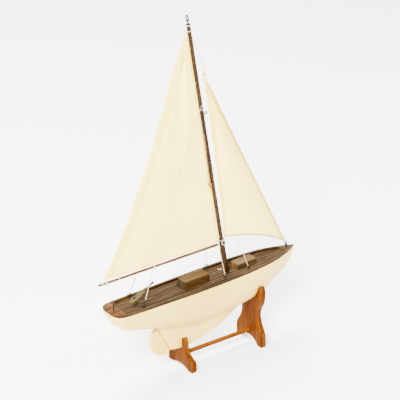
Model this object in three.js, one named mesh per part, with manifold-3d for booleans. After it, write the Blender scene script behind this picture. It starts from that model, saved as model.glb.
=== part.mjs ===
// A wooden model sloop on its two-plate stand: hull, fin keel, raked rudder with its tiller,
// recessed planked deck, raked mast, boom, two sails and the thread rigging. Millimetres, +Z up.
// +X points to the bow and -Y to starboard. Lengths along the boat are stations measured forward
// from the deck's aft end, and heights are measured up from the surface that the stand is on.
import * as THREE from 'three';
import { mergeVertices } from 'three/addons/utils/BufferGeometryUtils.js';
import Module from 'manifold-3d';

const wasm = await Module();
wasm.setup();

// ---------------------------------------------------------------- driving dimensions

const sternStation = -6;
const bowStation = 480;
const boomTipStation = -27;
const midStation = (bowStation + boomTipStation) / 2;

const gap = 0.3;                 // between neighbours that touch
const railHeight = 3.1;          // the brown strip on top of the hull's edge
const railWidth = 6;
const railLip = 1.2;             // the part of the rail that hangs inside, down to the deck
const deckRecess = 5;            // from the rail's top down to the deck
const deckThickness = 3;
const wall = 4.5;                // hull wall at the deck
const floorThickness = 7;
const recessAft = 20;            // where the recessed deck starts and ends
const recessFore = 448;

const keelThickness = 10;
const keelSlot = 11.2;
const ballast = { aft: 185, fore: 250, low: 60, high: 78, thickness: 5 };

const stockTop = new THREE.Vector3(64, 0, 192);
const stockHeel = new THREE.Vector3(143, 0, 47);
const stockRadius = 1.6;
const tubeRadius = 3;
const bearingClearance = 0.4;
const rudderNose = 4.2;          // radius of the rudder's leading edge
const rudderThickness = 7.4;
const rudderClearance = 0.4;     // between the rudder's leading edge and the keel
const tillerLevel = -6.5;        // along the stock, above the deck

const mastFoot = new THREE.Vector3(296, 0, 188);
const mastRake = 0.172;          // aft per unit of height
const mastHeadHeight = 762;
const gooseneckHeight = 264;
const mastBaseRadius = 6;
const mastRadius = 4.4;
const mastHeadRadius = 4.1;
const houndHeight = 565;         // where the eye on the mast's forward side is

const boomHeight = { tip: 254.5, mast: 261 };
const boomRadius = 2.8;
const boomForeStation = 266.8;
const boomTipLength = 9;
const threadRadius = 0.45;

const lowerStayHeight = 455;      // where the stays and the halyard meet the mast
const shroudHeight = 575;
const backstayHeight = 587;
const halyardHeight = 731;
const downhaulTop = new THREE.Vector3(272, -3.4, 263);
const sailThickness = 1;

// Deckhouse blocks: side is the shift to port, and endLean the aft end's lean per unit of inset.
const mainCabin = {
  aft: 178, fore: 243, half: 15.5, side: 3, height: 20, bulge: 3, lean: 2, ease: 2.5, endLean: 2,
};
const foreHatch = {
  aft: 318, fore: 370, half: 13, side: 3, height: 15.5, bulge: 0, lean: 1, ease: 4.5, endLean: 1,
};

const plateThickness = 13;
const plateAftStation = 173.5;
const plateForeStation = 359;
const dowelRadius = 5;
const dowelHeight = 28;
const tenon = 6;

// ---------------------------------------------------------------- materials

const finish = (colour, roughness, metalness = 0) =>
  new THREE.MeshStandardMaterial({ color: colour, roughness, metalness });
const creamPaint = finish(0xefe3c2, 0.45);
const deckWood = finish(0x96785a, 0.6);
const railWood = finish(0x8a7259, 0.55);
const blockWood = finish(0xb07f52, 0.5);
const cabinWood = finish(0x7d5a30, 0.5);
const sparWood = finish(0x6b4226, 0.5);
const boomWood = finish(0xa06a3c, 0.5);
const oliveWood = finish(0x9c8a5c, 0.5);
const standWood = finish(0xb8692c, 0.35);
const steel = finish(0x8d8f92, 0.35, 1);
const brass = finish(0x9a8350, 0.4, 1);
const lead = finish(0x5a5d61, 0.6, 0.8);
const cotton = finish(0xf5ecd2, 0.9);
const whiteThread = finish(0xf2eee2, 0.85);

// ---------------------------------------------------------------- geometry helpers

function solidOf(geometry) {
  const bare = geometry.index ? geometry.clone() : geometry;
  bare.deleteAttribute('normal');
  bare.deleteAttribute('uv');
  const merged = mergeVertices(bare, 1e-3);
  const mesh = new wasm.Mesh({
    numProp: 3,
    vertProperties: new Float32Array(merged.attributes.position.array),
    triVerts: new Uint32Array(merged.index.array),
  });
  return new wasm.Manifold(mesh);
}

function geometryOf(solid) {
  const mesh = solid.getMesh();
  const geometry = new THREE.BufferGeometry();
  geometry.setAttribute('position', new THREE.BufferAttribute(mesh.vertProperties, 3));
  geometry.setIndex(new THREE.BufferAttribute(mesh.triVerts, 1));
  geometry.computeVertexNormals();
  return geometry;
}

const cut = (geometry, ...tools) =>
  geometryOf(tools.reduce((solid, tool) => solid.subtract(solidOf(tool)), solidOf(geometry)));
const join = (geometry, ...others) =>
  geometryOf(others.reduce((solid, other) => solid.add(solidOf(other)), solidOf(geometry)));

// Smooth curve through [station, value] pairs.
function fair(pairs) {
  const slope = (i) => {
    const a = pairs[Math.max(i - 1, 0)];
    const b = pairs[Math.min(i + 1, pairs.length - 1)];
    return (b[1] - a[1]) / (b[0] - a[0]);
  };
  return (x) => {
    let i = 0;
    while (i < pairs.length - 2 && x > pairs[i + 1][0]) i += 1;
    const [x0, y0] = pairs[i];
    const [x1, y1] = pairs[i + 1];
    const h = x1 - x0;
    const t = THREE.MathUtils.clamp((x - x0) / h, 0, 1);
    const t2 = t * t;
    const t3 = t2 * t;
    return (2 * t3 - 3 * t2 + 1) * y0 + (t3 - 2 * t2 + t) * h * slope(i)
      + (3 * t2 - 2 * t3) * y1 + (t3 - t2) * h * slope(i + 1);
  };
}

// Closed solid through a row of rings that all have the same number of points.
function loft(rings) {
  const sides = rings[0].length;
  const positions = rings.flat().flatMap((p) => [p.x, p.y, p.z]);
  const index = [];
  for (let r = 0; r < rings.length - 1; r += 1) {
    for (let s = 0; s < sides; s += 1) {
      const a = r * sides + s;
      const b = r * sides + ((s + 1) % sides);
      index.push(a, b, b + sides, a, b + sides, a + sides);
    }
  }
  const last = (rings.length - 1) * sides;
  const capOf = (ring) => {
    const flat = flatten(ring);
    const triangles = THREE.ShapeUtils.triangulateShape(flat.points, []);
    return triangles.map((t) => (flat.turned ? [...t].reverse() : t));
  };
  capOf(rings[0]).forEach(([a, b, c]) => index.push(c, b, a));
  capOf(rings[rings.length - 1]).forEach(([a, b, c]) => index.push(last + a, last + b, last + c));
  const geometry = new THREE.BufferGeometry();
  geometry.setAttribute('position', new THREE.Float32BufferAttribute(positions, 3));
  geometry.setIndex(index);
  return facingOut(geometry);
}

// A ring seen in its own plane, for triangulating an end face.
function flatten(ring) {
  const normal = new THREE.Vector3();
  ring.forEach((p, i) => {
    normal.add(new THREE.Vector3().crossVectors(p, ring[(i + 1) % ring.length]));
  });
  normal.normalize();
  const side = new THREE.Vector3().subVectors(ring[1], ring[0]).normalize();
  const up = new THREE.Vector3().crossVectors(normal, side);
  const points = ring.map((p) => new THREE.Vector2(p.dot(side), p.dot(up)));
  return { points, turned: THREE.ShapeUtils.isClockWise(points) };
}

// Turns every face over if the solid is inside out.
function facingOut(geometry) {
  const { position } = geometry.attributes;
  const index = geometry.index.array;
  const corner = (i) => new THREE.Vector3().fromBufferAttribute(position, index[i]);
  let volume = 0;
  for (let i = 0; i < index.length; i += 3) {
    volume += corner(i).dot(new THREE.Vector3().crossVectors(corner(i + 1), corner(i + 2)));
  }
  if (volume < 0) {
    for (let i = 0; i < index.length; i += 3) {
      [index[i + 1], index[i + 2]] = [index[i + 2], index[i + 1]];
    }
  }
  return geometry;
}

// Round bar between two points, the second radius for a taper.
function bar(from, to, radius, endRadius = radius, sides = 16) {
  const along = new THREE.Vector3().subVectors(to, from);
  const geometry = new THREE.CylinderGeometry(endRadius, radius, along.length(), sides);
  geometry.applyQuaternion(new THREE.Quaternion().setFromUnitVectors(
    new THREE.Vector3(0, 1, 0),
    along.clone().normalize(),
  ));
  geometry.translate((from.x + to.x) / 2, (from.y + to.y) / 2, (from.z + to.z) / 2);
  return geometry;
}

// Flat board: an outline in a plane, extruded, with its long edges eased.
function board(outline, thickness, ease = 0) {
  const geometry = new THREE.ExtrudeGeometry(outline, {
    depth: thickness - 2 * ease,
    bevelEnabled: ease > 0,
    bevelThickness: ease,
    bevelSize: ease,
    bevelOffset: -ease,
    bevelSegments: 2,
    curveSegments: 10,
  });
  geometry.translate(0, 0, ease - thickness / 2);
  return geometry;
}

// Outline drawn in station and height, extruded across the boat about its centre plane.
function fin(outline, thickness, ease) {
  return board(outline, thickness, ease).rotateX(Math.PI / 2);
}

// Outline drawn in half-breadth and height, extruded forward from a station.
function frame(outline, thickness, station, ease) {
  const geometry = board(outline, thickness, ease);
  geometry.applyMatrix4(new THREE.Matrix4().makeBasis(
    new THREE.Vector3(0, 1, 0),
    new THREE.Vector3(0, 0, 1),
    new THREE.Vector3(1, 0, 0),
  ));
  geometry.translate(station + thickness / 2, 0, 0);
  return geometry;
}

const model = new THREE.Group();
model.position.x = -midStation;

function add(name, geometry, material) {
  const mesh = new THREE.Mesh(geometry, material);
  mesh.name = name;
  model.add(mesh);
  return mesh;
}

// ---------------------------------------------------------------- hull lines

const halfBreadth = fair([
  [sternStation, 10], [-4.5, 20], [-1, 27.5], [5, 33], [16, 36], [48, 38], [120, 40], [192, 42],
  [264, 42], [336, 39.5], [408, 30.4], [456, 14], [bowStation, 1],
]);
const sheer = (x) => {
  const u = x / bowStation - 0.5;
  return 192.2 + 13.6 * u + 9 * u * u;
};
const bottom = fair([
  [sternStation, 173], [0, 163], [10, 150], [30, 136], [62, 126.5], [112, 114], [160, 104],
  [205, 98.5], [277, 98.5], [340, 104], [366, 110], [395, 121], [421, 136], [444, 149],
  [463, 163], [473, 174], [bowStation, 189],
]);

const hullTop = (x) => sheer(x) - railHeight;
const deckTop = (x) => sheer(x) - deckRecess;

// Half-breadth at a distance inside the deck outline, measured square to it.
function insideBreadth(x, inset) {
  const step = 1;
  const slope = (halfBreadth(x + step) - halfBreadth(x - step)) / (2 * step);
  return halfBreadth(x) - inset * Math.hypot(1, slope);
}

const sectionPoints = 12;

// One cross-section, from the port edge down round the bottom to starboard.
function section(x, breadth, low, high) {
  const ring = [];
  for (let i = -sectionPoints; i <= sectionPoints; i += 1) {
    const angle = (i / sectionPoints) * (Math.PI / 2);
    ring.push(new THREE.Vector3(x, -breadth * Math.sin(angle), high - (high - low) * Math.cos(angle)));
  }
  return ring;
}

function stationsBetween(from, to, count) {
  return Array.from({ length: count + 1 }, (_, i) => {
    const t = i / count;
    return from + (to - from) * (t - 0.08 * Math.sin(2 * Math.PI * t));
  });
}

// Stations that crowd together towards both ends, where the hull turns fastest.
const hullSteps = 36;
const hullStations = Array.from({ length: hullSteps + 1 }, (_, i) => {
  const share = (1 - Math.cos((Math.PI * i) / hullSteps)) / 2;
  return THREE.MathUtils.lerp(sternStation, bowStation, share);
});

function hullBody() {
  return loft(hullStations.map((x) => section(x, halfBreadth(x), bottom(x), hullTop(x))));
}

const hullOuter = hullBody();

function hullShell() {
  const above = 6;
  const cavity = loft(stationsBetween(recessAft + 4, recessFore - 14, 22).map((x) => {
    const breadth = insideBreadth(x, wall);
    const ring = section(x, breadth, bottom(x) + floorThickness, hullTop(x));
    const port = new THREE.Vector3(x, breadth, hullTop(x) + above);
    const starboard = new THREE.Vector3(x, -breadth, hullTop(x) + above);
    return [port, ...ring, starboard];
  }));
  const bore = bar(stockPoint(-20), stockPoint(110), tubeRadius + gap);
  return cut(hullOuter, cavity, bore, deckSeat());
}

// The step inside the hull's edge that the deck is let into, over its whole length.
function deckSeat() {
  return loft(stationsBetween(recessAft - gap, recessFore + gap, 22).map((x) => {
    const breadth = insideBreadth(x, wall);
    const low = deckTop(x) - deckThickness - gap;
    return plank(x, breadth, low, sheer(x) + 1);
  }));
}

const plank = (x, breadth, low, high) => [
  new THREE.Vector3(x, breadth, low),
  new THREE.Vector3(x, -breadth, low),
  new THREE.Vector3(x, -breadth, high),
  new THREE.Vector3(x, breadth, high),
];

// ---------------------------------------------------------------- rudder axis

const stockAlong = new THREE.Vector3().subVectors(stockHeel, stockTop).normalize();
const tillerAlong = new THREE.Vector3(-stockAlong.z, 0, stockAlong.x);

// Point on the rudder axis, at a distance down from the deck.
function stockPoint(distance) {
  return stockTop.clone().addScaledVector(stockAlong, distance);
}

// ---------------------------------------------------------------- stand

function aftPlateOutline() {
  const foot = 43;
  const outline = new THREE.Shape();
  outline.moveTo(foot, 0);
  outline.lineTo(foot, 19);
  outline.quadraticCurveTo(foot, 26, foot - 6, 27);
  outline.quadraticCurveTo(24, 30, 18.5, 41);
  outline.quadraticCurveTo(14, 52, 12, 66);
  outline.quadraticCurveTo(11, 70, keelSlot / 2 + 2, 70);
  outline.quadraticCurveTo(keelSlot / 2, 70, keelSlot / 2, 67);
  outline.lineTo(keelSlot / 2, 43.4);
  outline.lineTo(-keelSlot / 2, 43.4);
  outline.lineTo(-keelSlot / 2, 67);
  outline.quadraticCurveTo(-keelSlot / 2, 70, -keelSlot / 2 - 2, 70);
  outline.quadraticCurveTo(-11, 70, -12, 66);
  outline.quadraticCurveTo(-14, 52, -18.5, 41);
  outline.quadraticCurveTo(-24, 30, 6 - foot, 27);
  outline.quadraticCurveTo(-foot, 26, -foot, 19);
  outline.lineTo(-foot, 0);
  outline.lineTo(-29, 0);
  outline.quadraticCurveTo(-14, 7.5, 0, 7.5);
  outline.quadraticCurveTo(14, 7.5, 29, 0);
  outline.closePath();
  return outline;
}

function forePlateOutline() {
  const foot = 45;
  const top = 146;
  const outline = new THREE.Shape();
  outline.moveTo(foot, 0);
  outline.lineTo(foot, 25);
  outline.bezierCurveTo(foot, 38, 27, 50, 26.5, 74);
  outline.bezierCurveTo(26.5, 92, 41, 100, 41, 120);
  outline.bezierCurveTo(41, 132, 41, top, 34, top);
  outline.lineTo(-34, top);
  outline.bezierCurveTo(-41, top, -41, 132, -41, 120);
  outline.bezierCurveTo(-41, 100, -26.5, 92, -26.5, 74);
  outline.bezierCurveTo(-27, 50, -foot, 38, -foot, 25);
  outline.lineTo(-foot, 0);
  outline.lineTo(-30, 0);
  outline.bezierCurveTo(-24, 10, -16, 16, 0, 16);
  outline.bezierCurveTo(16, 16, 24, 10, 30, 0);
  outline.closePath();
  return outline;
}

function buildStand() {
  const aftFace = plateAftStation + plateThickness;
  const dowelFrom = new THREE.Vector3(aftFace - tenon, 0, dowelHeight);
  const dowelTo = new THREE.Vector3(plateForeStation + tenon, 0, dowelHeight);
  const deeper = new THREE.Vector3(gap, 0, 0);
  const socket = bar(dowelFrom.clone().sub(deeper), dowelTo.clone().add(deeper), dowelRadius + gap);
  const ease = 1;
  const seat = hullOuter.clone().translate(0, 0, -gap);
  const aftPlate = frame(aftPlateOutline(), plateThickness, plateAftStation, ease);
  const forePlate = frame(forePlateOutline(), plateThickness, plateForeStation, ease);
  add('stand_plate_aft', cut(aftPlate, socket), standWood);
  add('stand_plate_fore', cut(forePlate, seat, socket), standWood);
  add('stand_dowel', bar(dowelFrom, dowelTo, dowelRadius, dowelRadius, 24), standWood);
}

// ---------------------------------------------------------------- hull, keel and rudder

function keelOutline() {
  const aftLow = stockPoint(164).addScaledVector(tillerAlong, rudderNose + rudderClearance);
  const aftHigh = stockPoint(80).addScaledVector(tillerAlong, rudderNose + rudderClearance);
  const outline = new THREE.Shape();
  outline.moveTo(aftHigh.x, aftHigh.z);
  outline.lineTo(aftLow.x, aftLow.z);
  outline.quadraticCurveTo(178, 44.2, 202, 48);
  outline.bezierCurveTo(245, 55.5, 282, 70, 318, 94);
  outline.lineTo(348, 116);
  outline.closePath();
  return outline;
}

function rudderOutline() {
  const high = stockPoint(96);
  const heel = stockPoint(163);
  const outline = new THREE.Shape();
  outline.moveTo(high.x, high.z);
  outline.lineTo(heel.x, heel.z);
  outline.lineTo(heel.x - 3, 42.5);
  outline.quadraticCurveTo(124, 41, 114, 47.5);
  outline.bezierCurveTo(101, 56, 97, 70, 98.5, 84);
  outline.quadraticCurveTo(100, 96, 103.5, 105);
  outline.closePath();
  return outline;
}

function buildHull() {
  add('hull_shell', hullShell(), creamPaint);

  const pocketTop = 120;
  const pocket = new THREE.BoxGeometry(
    ballast.fore - ballast.aft + 2 * gap,
    ballast.thickness + 2 * gap,
    pocketTop - ballast.low,
  );
  pocket.translate((ballast.aft + ballast.fore) / 2, 0, (pocketTop + ballast.low) / 2 - gap);
  const seat = hullOuter.clone().translate(0, 0, -gap);
  add('keel_fin', cut(fin(keelOutline(), keelThickness, 2.5), seat, pocket), creamPaint);

  const slug = new THREE.BoxGeometry(
    ballast.fore - ballast.aft,
    ballast.thickness,
    ballast.high - ballast.low,
  );
  slug.translate((ballast.aft + ballast.fore) / 2, 0, (ballast.high + ballast.low) / 2);
  add('keel_ballast', slug, lead);
}

function buildRudder() {
  const nose = bar(stockPoint(95), stockPoint(161), rudderNose, rudderNose, 24);
  const bore = bar(stockPoint(60), stockPoint(140), stockRadius + gap);
  const blade = join(fin(rudderOutline(), rudderThickness, 1.5), nose);
  add('rudder_blade', cut(blade, bore), creamPaint);
  add('rudder_stock', bar(stockPoint(-4), stockPoint(138), stockRadius), brass);

  const tubeLength = 84;
  const inner = stockRadius + bearingClearance;
  const tube = new THREE.LatheGeometry([
    new THREE.Vector2(inner, 0),
    new THREE.Vector2(tubeRadius, 0),
    new THREE.Vector2(tubeRadius, tubeLength),
    new THREE.Vector2(inner, tubeLength),
    new THREE.Vector2(inner, 0),
  ], 20);
  tube.applyQuaternion(new THREE.Quaternion().setFromUnitVectors(new THREE.Vector3(0, 1, 0), stockAlong));
  const tubeTop = stockPoint(2.5);
  tube.translate(tubeTop.x, tubeTop.y, tubeTop.z);
  add('rudder_tube', tube, brass);
}

// Places something drawn in the tiller's own plane: first axis forward, third axis up the stock.
function onStock(geometry, distance) {
  const upStock = stockAlong.clone().negate();
  const side = new THREE.Vector3(0, 1, 0);
  const at = stockPoint(distance);
  geometry.applyMatrix4(new THREE.Matrix4().makeBasis(tillerAlong, side, upStock).setPosition(at));
  return geometry;
}

function buildTiller() {
  const level = tillerLevel;
  const armRadius = 1.5;
  const leaf = new THREE.Shape();
  leaf.moveTo(-13, 0);
  leaf.bezierCurveTo(-13, 5, -8, 7.2, 0, 7.2);
  leaf.bezierCurveTo(12, 7.2, 22, 5, 33, 2.8);
  leaf.lineTo(33, -2.8);
  leaf.bezierCurveTo(22, -5, 12, -7.2, 0, -7.2);
  leaf.bezierCurveTo(-8, -7.2, -13, -5, -13, 0);
  const socketDepth = 12;
  const armFrom = stockPoint(level).addScaledVector(tillerAlong, 33 - socketDepth);
  const armTo = stockPoint(level).addScaledVector(tillerAlong, 50);
  const socket = bar(armFrom.clone().addScaledVector(tillerAlong, -gap), armTo, armRadius + gap);
  const bore = bar(stockPoint(level - 9), stockPoint(level + 9), stockRadius + gap);
  add('tiller_head', cut(onStock(board(leaf, 5, 0.8), level), bore, socket), oliveWood);

  const knob = new THREE.SphereGeometry(2.6, 14, 10).translate(armTo.x, 0, armTo.z);
  add('tiller_arm', join(bar(armFrom, armTo, armRadius), knob), sparWood);

  const washer = new THREE.CylinderGeometry(3, 3, 1.2, 16).rotateX(Math.PI / 2).translate(0, 0, 3.4);
  add('tiller_screw', onStock(join(washer, closedDome(2.2, 3.9)), level), steel);
}

// Low dome on a flat base, its axis up.
function closedDome(radius, base) {
  const profile = [new THREE.Vector2(0, 0)];
  const steps = 6;
  for (let i = 0; i <= steps; i += 1) {
    const angle = (i / steps) * (Math.PI / 2);
    profile.push(new THREE.Vector2(radius * Math.cos(angle), 0.8 * radius * Math.sin(angle)));
  }
  profile[profile.length - 1].x = 0;
  return new THREE.LatheGeometry(profile, 16).rotateX(Math.PI / 2).translate(0, 0, base);
}

// ---------------------------------------------------------------- deck and deck fittings

function buildDeck() {
  const planking = loft(stationsBetween(recessAft, recessFore, 22).map((x) =>
    plank(x, insideBreadth(x, wall + gap), deckTop(x) - deckThickness, deckTop(x))));
  const tubeHole = bar(stockPoint(-30), stockPoint(30), tubeRadius + gap);
  const mastHole = bar(mastPoint(mastFoot.z - 30), mastPoint(mastFoot.z + 20), mastBaseRadius + gap);
  add('deck_planking', cut(planking, tubeHole, mastHole), deckWood);

  const railStations = stationsBetween(recessAft, recessFore, 26);
  for (const [name, side] of [['rail_port', 1], ['rail_starboard', -1]]) {
    add(name, loft(railStations.map((x) => railSection(x, side))), railWood);
  }

  const capSection = (x) => plank(x, halfBreadth(x), hullTop(x) + gap, sheer(x));
  const cap = (stations) => loft(stations.map(capSection));
  const sternStations = hullStations.filter((x) => x < recessAft - 3);
  const bowStations = hullStations.filter((x) => x > recessFore + 3);
  add('stern_block', cap([...sternStations, recessAft - gap]), blockWood);
  add('bow_block', cap([recessFore + gap, ...bowStations]), railWood);
}

function railSection(x, side) {
  const at = (inset, height) => new THREE.Vector3(x, side * insideBreadth(x, inset), height);
  return [
    at(0, hullTop(x) + gap),
    at(0, sheer(x)),
    at(railWidth, sheer(x)),
    at(railWidth, deckTop(x) + gap),
    at(railWidth - railLip, deckTop(x) + gap),
    at(railWidth - railLip, hullTop(x) + gap),
  ];
}

// Cabin block: a curved aft end, leaning sides and an eased roof.
function cabin({ aft, fore, half, side, height, bulge, lean, ease, endLean }) {
  const base = deckTop((aft + fore) / 2) + gap;
  const plan = (inset) => {
    const ring = [];
    const steps = 6;
    for (let i = -steps; i <= steps; i += 1) {
      const across = (i / steps) * (half - inset);
      ring.push([aft + endLean * inset - bulge * (1 - (i / steps) ** 2), across]);
    }
    ring.push([fore - inset * 0.5, half - inset]);
    ring.push([fore - inset * 0.5, inset - half]);
    return ring;
  };
  const levels = [
    [0, 0],
    [height - ease, lean],
    [height - ease * 0.3, lean + ease * 0.3],
    [height, lean + ease],
  ];
  return loft(levels.map(([rise, inset]) => plan(inset).map(([x, y]) =>
    new THREE.Vector3(x, y + side, base + rise + (deckTop(x) - deckTop((aft + fore) / 2))))));
}

function buildDeckhouses() {
  add('main_cabin', cabin(mainCabin), cabinWood);
  add('fore_hatch', cabin(foreHatch), cabinWood);
}

// Screw eye: a wire ring on a shank that goes into the wood.
function screwEye(name, foot, toward, { ring = 3.2, wire = 0.7, shank = 6, turn = 0 } = {}) {
  const up = toward.clone().normalize();
  const eye = new THREE.TorusGeometry(ring, wire, 6, 18);
  eye.rotateY(turn).translate(0, shank + ring, 0);
  const stem = new THREE.CylinderGeometry(wire, wire, shank + 0.6, 8).translate(0, (shank + 0.6) / 2, 0);
  const geometry = join(eye, stem);
  geometry.applyQuaternion(new THREE.Quaternion().setFromUnitVectors(new THREE.Vector3(0, 1, 0), up));
  geometry.translate(foot.x, foot.y, foot.z);
  add(name, geometry, steel);
}

const onDeck = (x, y) => new THREE.Vector3(x, y, deckTop(x) + gap);
const upward = new THREE.Vector3(0, 0, 1);

const shroudFootPort = onDeck(267, 33.5);
const shroudFootStarboard = onDeck(272, -27);
const backstayFootPort = onDeck(66, 29.5);
const backstayFootStarboard = onDeck(63, -28.5);
const foreFoot = onDeck(339, -20);
const sheetFoot = new THREE.Vector3(8, 0, sheer(8) + gap);
const bowFoot = new THREE.Vector3(459, 0, sheer(459) + gap);
const eyeHeight = 9.2;           // from the foot to the middle of the ring

function buildEyes() {
  screwEye('shroud_eye_port', shroudFootPort, upward);
  screwEye('shroud_eye_starboard', shroudFootStarboard, upward);
  screwEye('backstay_eye_port', backstayFootPort, upward);
  screwEye('backstay_eye_starboard', backstayFootStarboard, upward);
  screwEye('fore_eye_starboard', foreFoot, upward, { ring: 2.4, shank: 4, turn: Math.PI / 2 });
  screwEye('mast_foot_eye', onDeck(308, 5), upward, { ring: 2.6, shank: 5, turn: Math.PI / 3 });
  screwEye('sheet_eye', sheetFoot, upward, { ring: 2.4, shank: 12, wire: 0.8, turn: Math.PI / 2 });
  screwEye('bow_eye', bowFoot, upward, { ring: 3, shank: 3.4, turn: Math.PI / 2 });
}

// ---------------------------------------------------------------- spars

// Point on the mast's axis at a height.
function mastPoint(height, forward = 0, across = 0) {
  return new THREE.Vector3(mastFoot.x - mastRake * (height - mastFoot.z) + forward, across, height);
}

function mastRadiusAt(height) {
  const t = (height - gooseneckHeight) / (mastHeadHeight - gooseneckHeight);
  return THREE.MathUtils.lerp(mastRadius, mastHeadRadius, THREE.MathUtils.clamp(t, 0, 1));
}

function buildMast() {
  const socketTop = gooseneckHeight + 8;
  const plug = 30;
  const sparFoot = socketTop - plug;
  const head = mastPoint(mastHeadHeight);
  const bore = mastRadius + gap;
  const base = bar(mastPoint(mastFoot.z - 4), mastPoint(socketTop), mastBaseRadius, mastBaseRadius - 0.4, 20);
  const socket = bar(mastPoint(sparFoot - gap), mastPoint(socketTop + 5), bore, bore, 20);
  add('mast_base', cut(base, socket), sparWood);
  add('mast', bar(mastPoint(sparFoot), head, mastRadius, mastHeadRadius, 20), sparWood);

  const boltHead = bar(
    mastPoint(gooseneckHeight, 0, -mastBaseRadius - gap),
    mastPoint(gooseneckHeight, 0, -mastBaseRadius - 2.2),
    3,
    2.2,
  );
  add('gooseneck_bolt', boltHead, steel);

  const mastUp = new THREE.Vector3(-mastRake, 0, 1).normalize();
  const mastEye = { ring: 4.2, shank: 7.5, wire: 1.1, turn: Math.PI / 2 };
  screwEye('masthead_eye', mastPoint(mastHeadHeight + gap), mastUp, mastEye);

  const forward = new THREE.Vector3(1, 0, mastRake).normalize();
  const houndFoot = mastPoint(houndHeight, mastRadiusAt(houndHeight) + gap);
  screwEye('hound_eye', houndFoot, forward, { ring: 2.5, shank: 3.2, turn: Math.PI / 2 });
}

const boomAt = (station) => {
  const t = (station - boomTipStation) / (mastFoot.x - boomTipStation);
  return new THREE.Vector3(station, 0, THREE.MathUtils.lerp(boomHeight.tip, boomHeight.mast, t));
};

function buildBoom() {
  const tipEnd = boomTipStation + boomTipLength;
  const spar = bar(boomAt(tipEnd + gap), boomAt(boomForeStation), boomRadius - 0.4, boomRadius, 18);
  const tip = bar(boomAt(boomTipStation), boomAt(tipEnd), boomRadius - 0.8, boomRadius - 0.5, 18);
  add('boom', spar, boomWood);
  add('boom_tip', tip, sparWood);

  const jaw = new THREE.TorusGeometry(2.3, 0.7, 8, 24).rotateX(Math.PI / 2);
  const shank = new THREE.CylinderGeometry(0.8, 0.8, 4, 8).rotateZ(Math.PI / 2).translate(-4.6, 0, 0);
  const along = new THREE.Vector3().subVectors(boomAt(boomForeStation), boomAt(0)).normalize();
  const pitch = new THREE.Quaternion().setFromUnitVectors(new THREE.Vector3(1, 0, 0), along);
  const at = boomAt(boomForeStation + 7);
  const eye = join(jaw, shank);
  eye.applyQuaternion(pitch).translate(at.x, at.y, at.z);
  add('gooseneck_eye', eye, steel);
}

// ---------------------------------------------------------------- sails

// Thin solid over a grid of points, thickened across the boat.
function cloth(pointAt, columns, rows) {
  const positions = [];
  for (const side of [0.5, -0.5]) {
    for (let r = 0; r <= rows; r += 1) {
      for (let c = 0; c <= columns; c += 1) {
        const p = pointAt(c / columns, r / rows);
        positions.push(p.x, p.y + side * sailThickness, p.z);
      }
    }
  }
  const width = columns + 1;
  const layer = width * (rows + 1);
  const index = [];
  const quad = (a, b, c, d) => index.push(a, b, c, a, c, d);
  for (let r = 0; r < rows; r += 1) {
    for (let c = 0; c < columns; c += 1) {
      const a = r * width + c;
      quad(a, a + 1, a + width + 1, a + width);
      quad(layer + a + width, layer + a + width + 1, layer + a + 1, layer + a);
    }
  }
  const edge = (a, b) => quad(b, a, a + layer, b + layer);
  for (let c = 0; c < columns; c += 1) {
    edge(c, c + 1);
    edge(rows * width + c + 1, rows * width + c);
  }
  for (let r = 0; r < rows; r += 1) {
    edge((r + 1) * width, r * width);
    edge(r * width + columns, (r + 1) * width + columns);
  }
  const geometry = new THREE.BufferGeometry();
  geometry.setAttribute('position', new THREE.Float32BufferAttribute(positions, 3));
  geometry.setIndex(index);
  return facingOut(geometry);
}

const mainHeadHeight = 745;
const mainFootHeight = 266;
const mainClew = new THREE.Vector3(-14, 0, 260);
const mainHollow = 12;
const mainBelly = 4;             // to starboard
const mainHeadWidth = 7;
const luffClearance = 1.2;

// Mainsail: u runs from the mast to the leech, v from the boom to the head.
function mainsailPoint(u, v) {
  const height = THREE.MathUtils.lerp(mainFootHeight, mainHeadHeight, v);
  const luff = mastPoint(height);
  const atMast = height < gooseneckHeight + 10 ? mastBaseRadius : mastRadiusAt(height);
  luff.x -= atMast + luffClearance;
  const headX = mastPoint(mainHeadHeight).x - mastHeadRadius - luffClearance - mainHeadWidth;
  const leechX = THREE.MathUtils.lerp(mainClew.x, headX, v)
    + mainHollow * Math.sin(Math.PI * Math.min(v * 1.15, 1));
  const x = THREE.MathUtils.lerp(luff.x, leechX, u);
  const belly = -mainBelly * Math.sin(Math.PI * u) * (1 - v) * (0.35 + 1.6 * v);
  const drop = (mainClew.z - mainFootHeight + boomRadius) * u * (1 - v);
  return new THREE.Vector3(x, belly, height + drop);
}

const jibTack = new THREE.Vector3(453, 0, 219.5);
const jibHead = new THREE.Vector3(240, 0, 638);
const jibClew = new THREE.Vector3(283.5, -7, 280);
const jibRoll = new THREE.Vector3(-4.9, 0, 36);   // from the sail's head to its rolled tip
const jibRollFrom = 0.9;         // share of the rows that lie below the roll
const jibHeadWidth = 4;
const jibBelly = 20;             // to starboard
const jibLeechRound = 1;
const footArch = 14;

// Jib: u runs from the luff to the leech, v from the foot to the head.
function jibPoint(u, v) {
  const w = Math.min(v / jibRollFrom, 1);
  const rolled = Math.max(v - jibRollFrom, 0) / (1 - jibRollFrom);
  const luff = jibTack.clone().lerp(jibHead, w);
  const top = jibHead.clone().add(new THREE.Vector3(-jibHeadWidth, 0, -1));
  const leech = jibClew.clone().lerp(top, w);
  leech.x += jibLeechRound * Math.sin(Math.PI * w);
  const point = luff.lerp(leech, u);
  point.z += footArch * Math.sin(Math.PI * u) * (1 - w) ** 3;
  point.y -= jibBelly * Math.sin(Math.PI * u) * (1 - w) ** 0.8 * (0.75 + 0.5 * w);
  return point.addScaledVector(jibRoll, rolled);
}

function buildSails() {
  add('mainsail', cloth(mainsailPoint, 10, 20), cotton);
  add('jib', cloth(jibPoint, 10, 20), cotton);
}

// ---------------------------------------------------------------- thread rigging

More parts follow.
